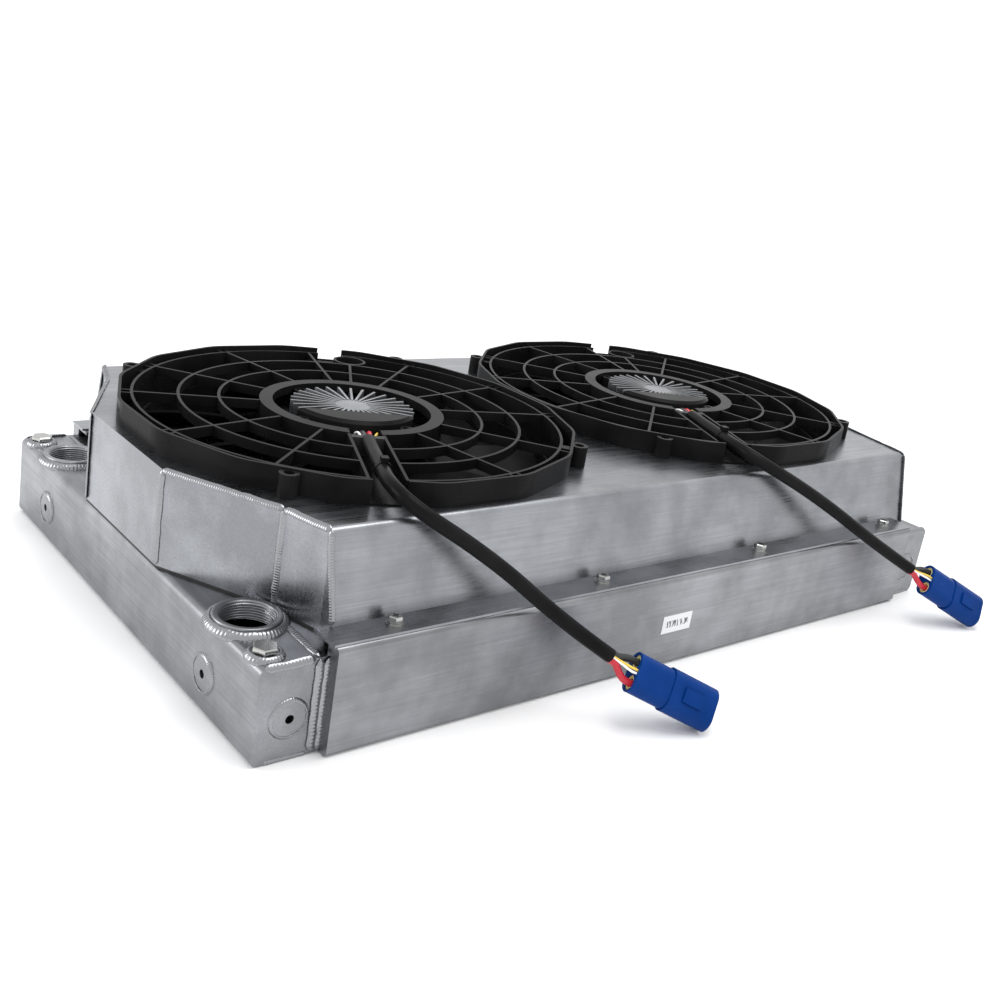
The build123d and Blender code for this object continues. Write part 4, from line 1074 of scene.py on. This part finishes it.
# ---------------------------------------------------------------- fans' dressing
@dataclass
class FanDressing:
    """Small pieces on one fan: wire ends at the motor and a tie on the lead.

    Attributes:
        side: "left" or "right".
        centre: the fan's axis in plan.
        layout: shared sizes.
        finishes: the object's finishes.
    """

    side: str
    centre: Span
    layout: Layout
    finishes: Finishes
    tie_reach: float = 0.1700
    tie_z: float = 0.1733
    tie_radius: float = 0.0068

    def axes(self) -> tuple[np.ndarray, np.ndarray, np.ndarray, np.ndarray]:
        """Gives the fan's middle and the ways along, across and above its lead.

        Returns:
            the middle at floor level and three unit vectors.
        """
        angle = self.layout.cable_angle
        out = np.array([math.cos(angle), math.sin(angle), 0.0])
        return (np.array([*self.centre, 0.0]), out, np.array([-out[1], out[0], 0.0]),
                np.array([0.0, 0.0, 1.0]))

    def wires(self) -> None:
        """Makes the four short wires between the motor and the sleeve."""
        hub, out, across, up = self.axes()
        looks = [("white", self.finishes.white_wire, -0.0045, 0.0011, 0.005),
                 ("orange", self.finishes.yellow_wire, 0.0052, 0.0011, 0.011),
                 ("red", self.finishes.by_slot["wire_insulation"], 0.0022, 0.0021, 0.004),
                 ("black", self.finishes.black_wire, -0.0012, 0.0021, 0.002)]
        for name, material, shift, radius, bow in looks:
            start = hub + 0.056 * out + (shift * 1.8 + bow * 0.6) * across + 0.1660 * up
            middle = hub + 0.073 * out + (shift * 1.5 + bow * 0.3) * across + 0.1720 * up
            end = hub + 0.0905 * out + shift * across + 0.1725 * up
            skin = Surface()
            round_tube(skin, smooth_curve([start, middle, end], 10), radius, 10)
            skin.make(f"{self.side}_hub_wire_{name}", material)

    def tie(self) -> None:
        """Makes the tie on the lead: a flat band of 48 points round it, and its head."""
        hub, out, across, up = self.axes()
        middle = hub + self.tie_reach * out + self.tie_z * up
        turn = np.linspace(0, 2 * math.pi, 48, endpoint=False)[:, None]
        outward = np.cos(turn) * across + np.sin(turn) * up
        path = middle + self.tie_radius * outward
        corners = ((-0.0024, -0.0006), (0.0024, -0.0006), (0.0024, 0.0007), (-0.0024, 0.0007))
        band = Surface()
        band.loft(np.stack([path + a * out + b * outward for a, b in corners], axis=1),
                  closed=True)
        head = middle + 0.0086 * up
        ends = np.array([-0.0036, 0.0036])[:, None, None]
        section = np.array([(-0.003, -0.002), (0.003, -0.002), (0.003, 0.0025),
                            (-0.003, 0.0025)])
        band.loft(head + ends * out + section[:, :1] * across + section[:, 1:] * up)
        band.make(self.side + "_lead_tie", self.finishes.by_slot["black_plastic"],
                  smooth=False)

    def build(self) -> None:
        """Makes the wires, then the tie."""
        self.wires()
        self.tie()
        log.info("dressed the %s fan's lead", self.side)


# ---------------------------------------------------------------- stage
@dataclass
class Studio:
    """Camera, lights and floor.

    Attributes:
        place: the camera's place, metres.
        azimuth: its heading from +Y, radians.
        drop: how far it looks down, radians.
        roll: its turn about the view, radians.
        lens: focal length, millimetres.
        shift: sideways and upward shift of the picture.
        floor_half: half the floor's width, metres.
    """

    place: Point = (-0.7748, -0.8413, 0.4614)
    azimuth: float = 0.7183
    drop: float = 0.2816
    roll: float = 0.1606
    lens: float = 41.2
    shift: Span = (0.0130, -0.0674)
    floor_half: float = 90.0

    def camera(self) -> bpy.types.Object:
        """Makes the camera.

        Returns:
            the camera object.
        """
        a, e, r = self.azimuth, self.drop, self.roll
        ahead = Vector((math.sin(a) * math.cos(e), math.cos(a) * math.cos(e), -math.sin(e)))
        level = Vector((math.cos(a), -math.sin(a), 0.0))
        raised = level.cross(ahead)
        right = math.cos(r) * level + math.sin(r) * raised
        up = -math.sin(r) * level + math.cos(r) * raised
        data = bpy.data.cameras.new("camera")
        data.sensor_width = 36.0
        data.sensor_fit = "HORIZONTAL"
        data.lens = self.lens
        data.shift_x, data.shift_y = self.shift
        data.clip_end = 30.0
        cam = bpy.data.objects.new("camera", data)
        turn = Matrix((right, up, -ahead)).transposed().to_4x4()
        cam.matrix_world = Matrix.Translation(self.place) @ turn
        bpy.context.scene.collection.objects.link(cam)
        bpy.context.scene.camera = cam
        return cam

    def lamp(self, name: str, place: Point, aim: Point, size: Span, power: float) -> None:
        """Adds one soft rectangular lamp.

        Args:
            name: its name.
            place: where it is, metres.
            aim: the point it faces.
            size: its two widths, metres.
            power: its power, watts.
        """
        data = bpy.data.lights.new(name, "AREA")
        data.shape = "RECTANGLE"
        data.size, data.size_y = size
        data.energy = power
        data.color = (1.0, 1.0, 1.0)
        lamp = bpy.data.objects.new(name, data)
        lamp.location = place
        lamp.rotation_euler = (Vector(aim) - Vector(place)).to_track_quat("-Z", "Y").to_euler()
        bpy.context.scene.collection.objects.link(lamp)

    def build(self) -> None:
        """Makes the floor, the surroundings and the lamps."""
        mesh = bpy.data.meshes.new("floor")
        h = self.floor_half
        mesh.from_pydata([(-h, -h, 0), (h, -h, 0), (h, h, 0), (-h, h, 0)], [], [(0, 1, 2, 3)])
        floor = bpy.data.objects.new("floor", mesh)
        g = Graph("floor", (0.95, 0.95, 0.95))
        g.surface.inputs["Base Color"].default_value = (0.93, 0.93, 0.935, 1.0)
        g.surface.inputs["Roughness"].default_value = 0.85
        mesh.materials.append(g.material)
        floor.location.z = -0.0006
        bpy.context.scene.collection.objects.link(floor)
        world = bpy.data.worlds.new("room")
        world.use_nodes = True
        sky = world.node_tree.nodes["Background"]
        sky.inputs["Color"].default_value = (1.0, 1.0, 1.0, 1.0)
        sky.inputs["Strength"].default_value = 1.12
        bpy.context.scene.world = world
        self.lamp("key", (0.2, -0.3, 1.9), (0.0, 0.0, 0.1), (1.4, 0.9), 20.0)
        self.lamp("side", (-1.9, 0.9, 0.7), (-0.2, 0.0, 0.1), (0.9, 0.9), 14.0)
        scene = bpy.context.scene
        scene.view_settings.view_transform = "Standard"
        scene.view_settings.look = "None"
        scene.view_settings.exposure = 0.0


def main() -> None:
    """Builds the whole visual model in order."""
    nodes, record = frame["nodes"], frame["record"]
    studio = Studio()
    studio.camera()
    finishes = Finishes()
    finishes.dress_nodes(record, nodes)
    Lead("left", LEFT_ROUTE, PlugPlace((-0.061, -0.349), -30.5, 23.0, -32.0),
         finishes).build(nodes)
    Lead("right", RIGHT_ROUTE, PlugPlace((0.400, -0.331), -26.5, 26.0, -32.0),
         finishes).build(nodes)
    WeldWork(LAYOUT, finishes).build()
    for node, y in (("inlet_port", -LAYOUT.port_y), ("outlet_port", LAYOUT.port_y)):
        ThreadedPort(node, (LAYOUT.port_x, y), finishes.by_slot["welded_aluminium"]).build()
    FinPack(LAYOUT, finishes.by_slot["core_aluminium"]).build()
    for side, x in (("left", -LAYOUT.fan_x), ("right", LAYOUT.fan_x)):
        FanDressing(side, (x, 0.0), LAYOUT, finishes).build()
    studio.build()


if __name__ == "__main__":
    main()
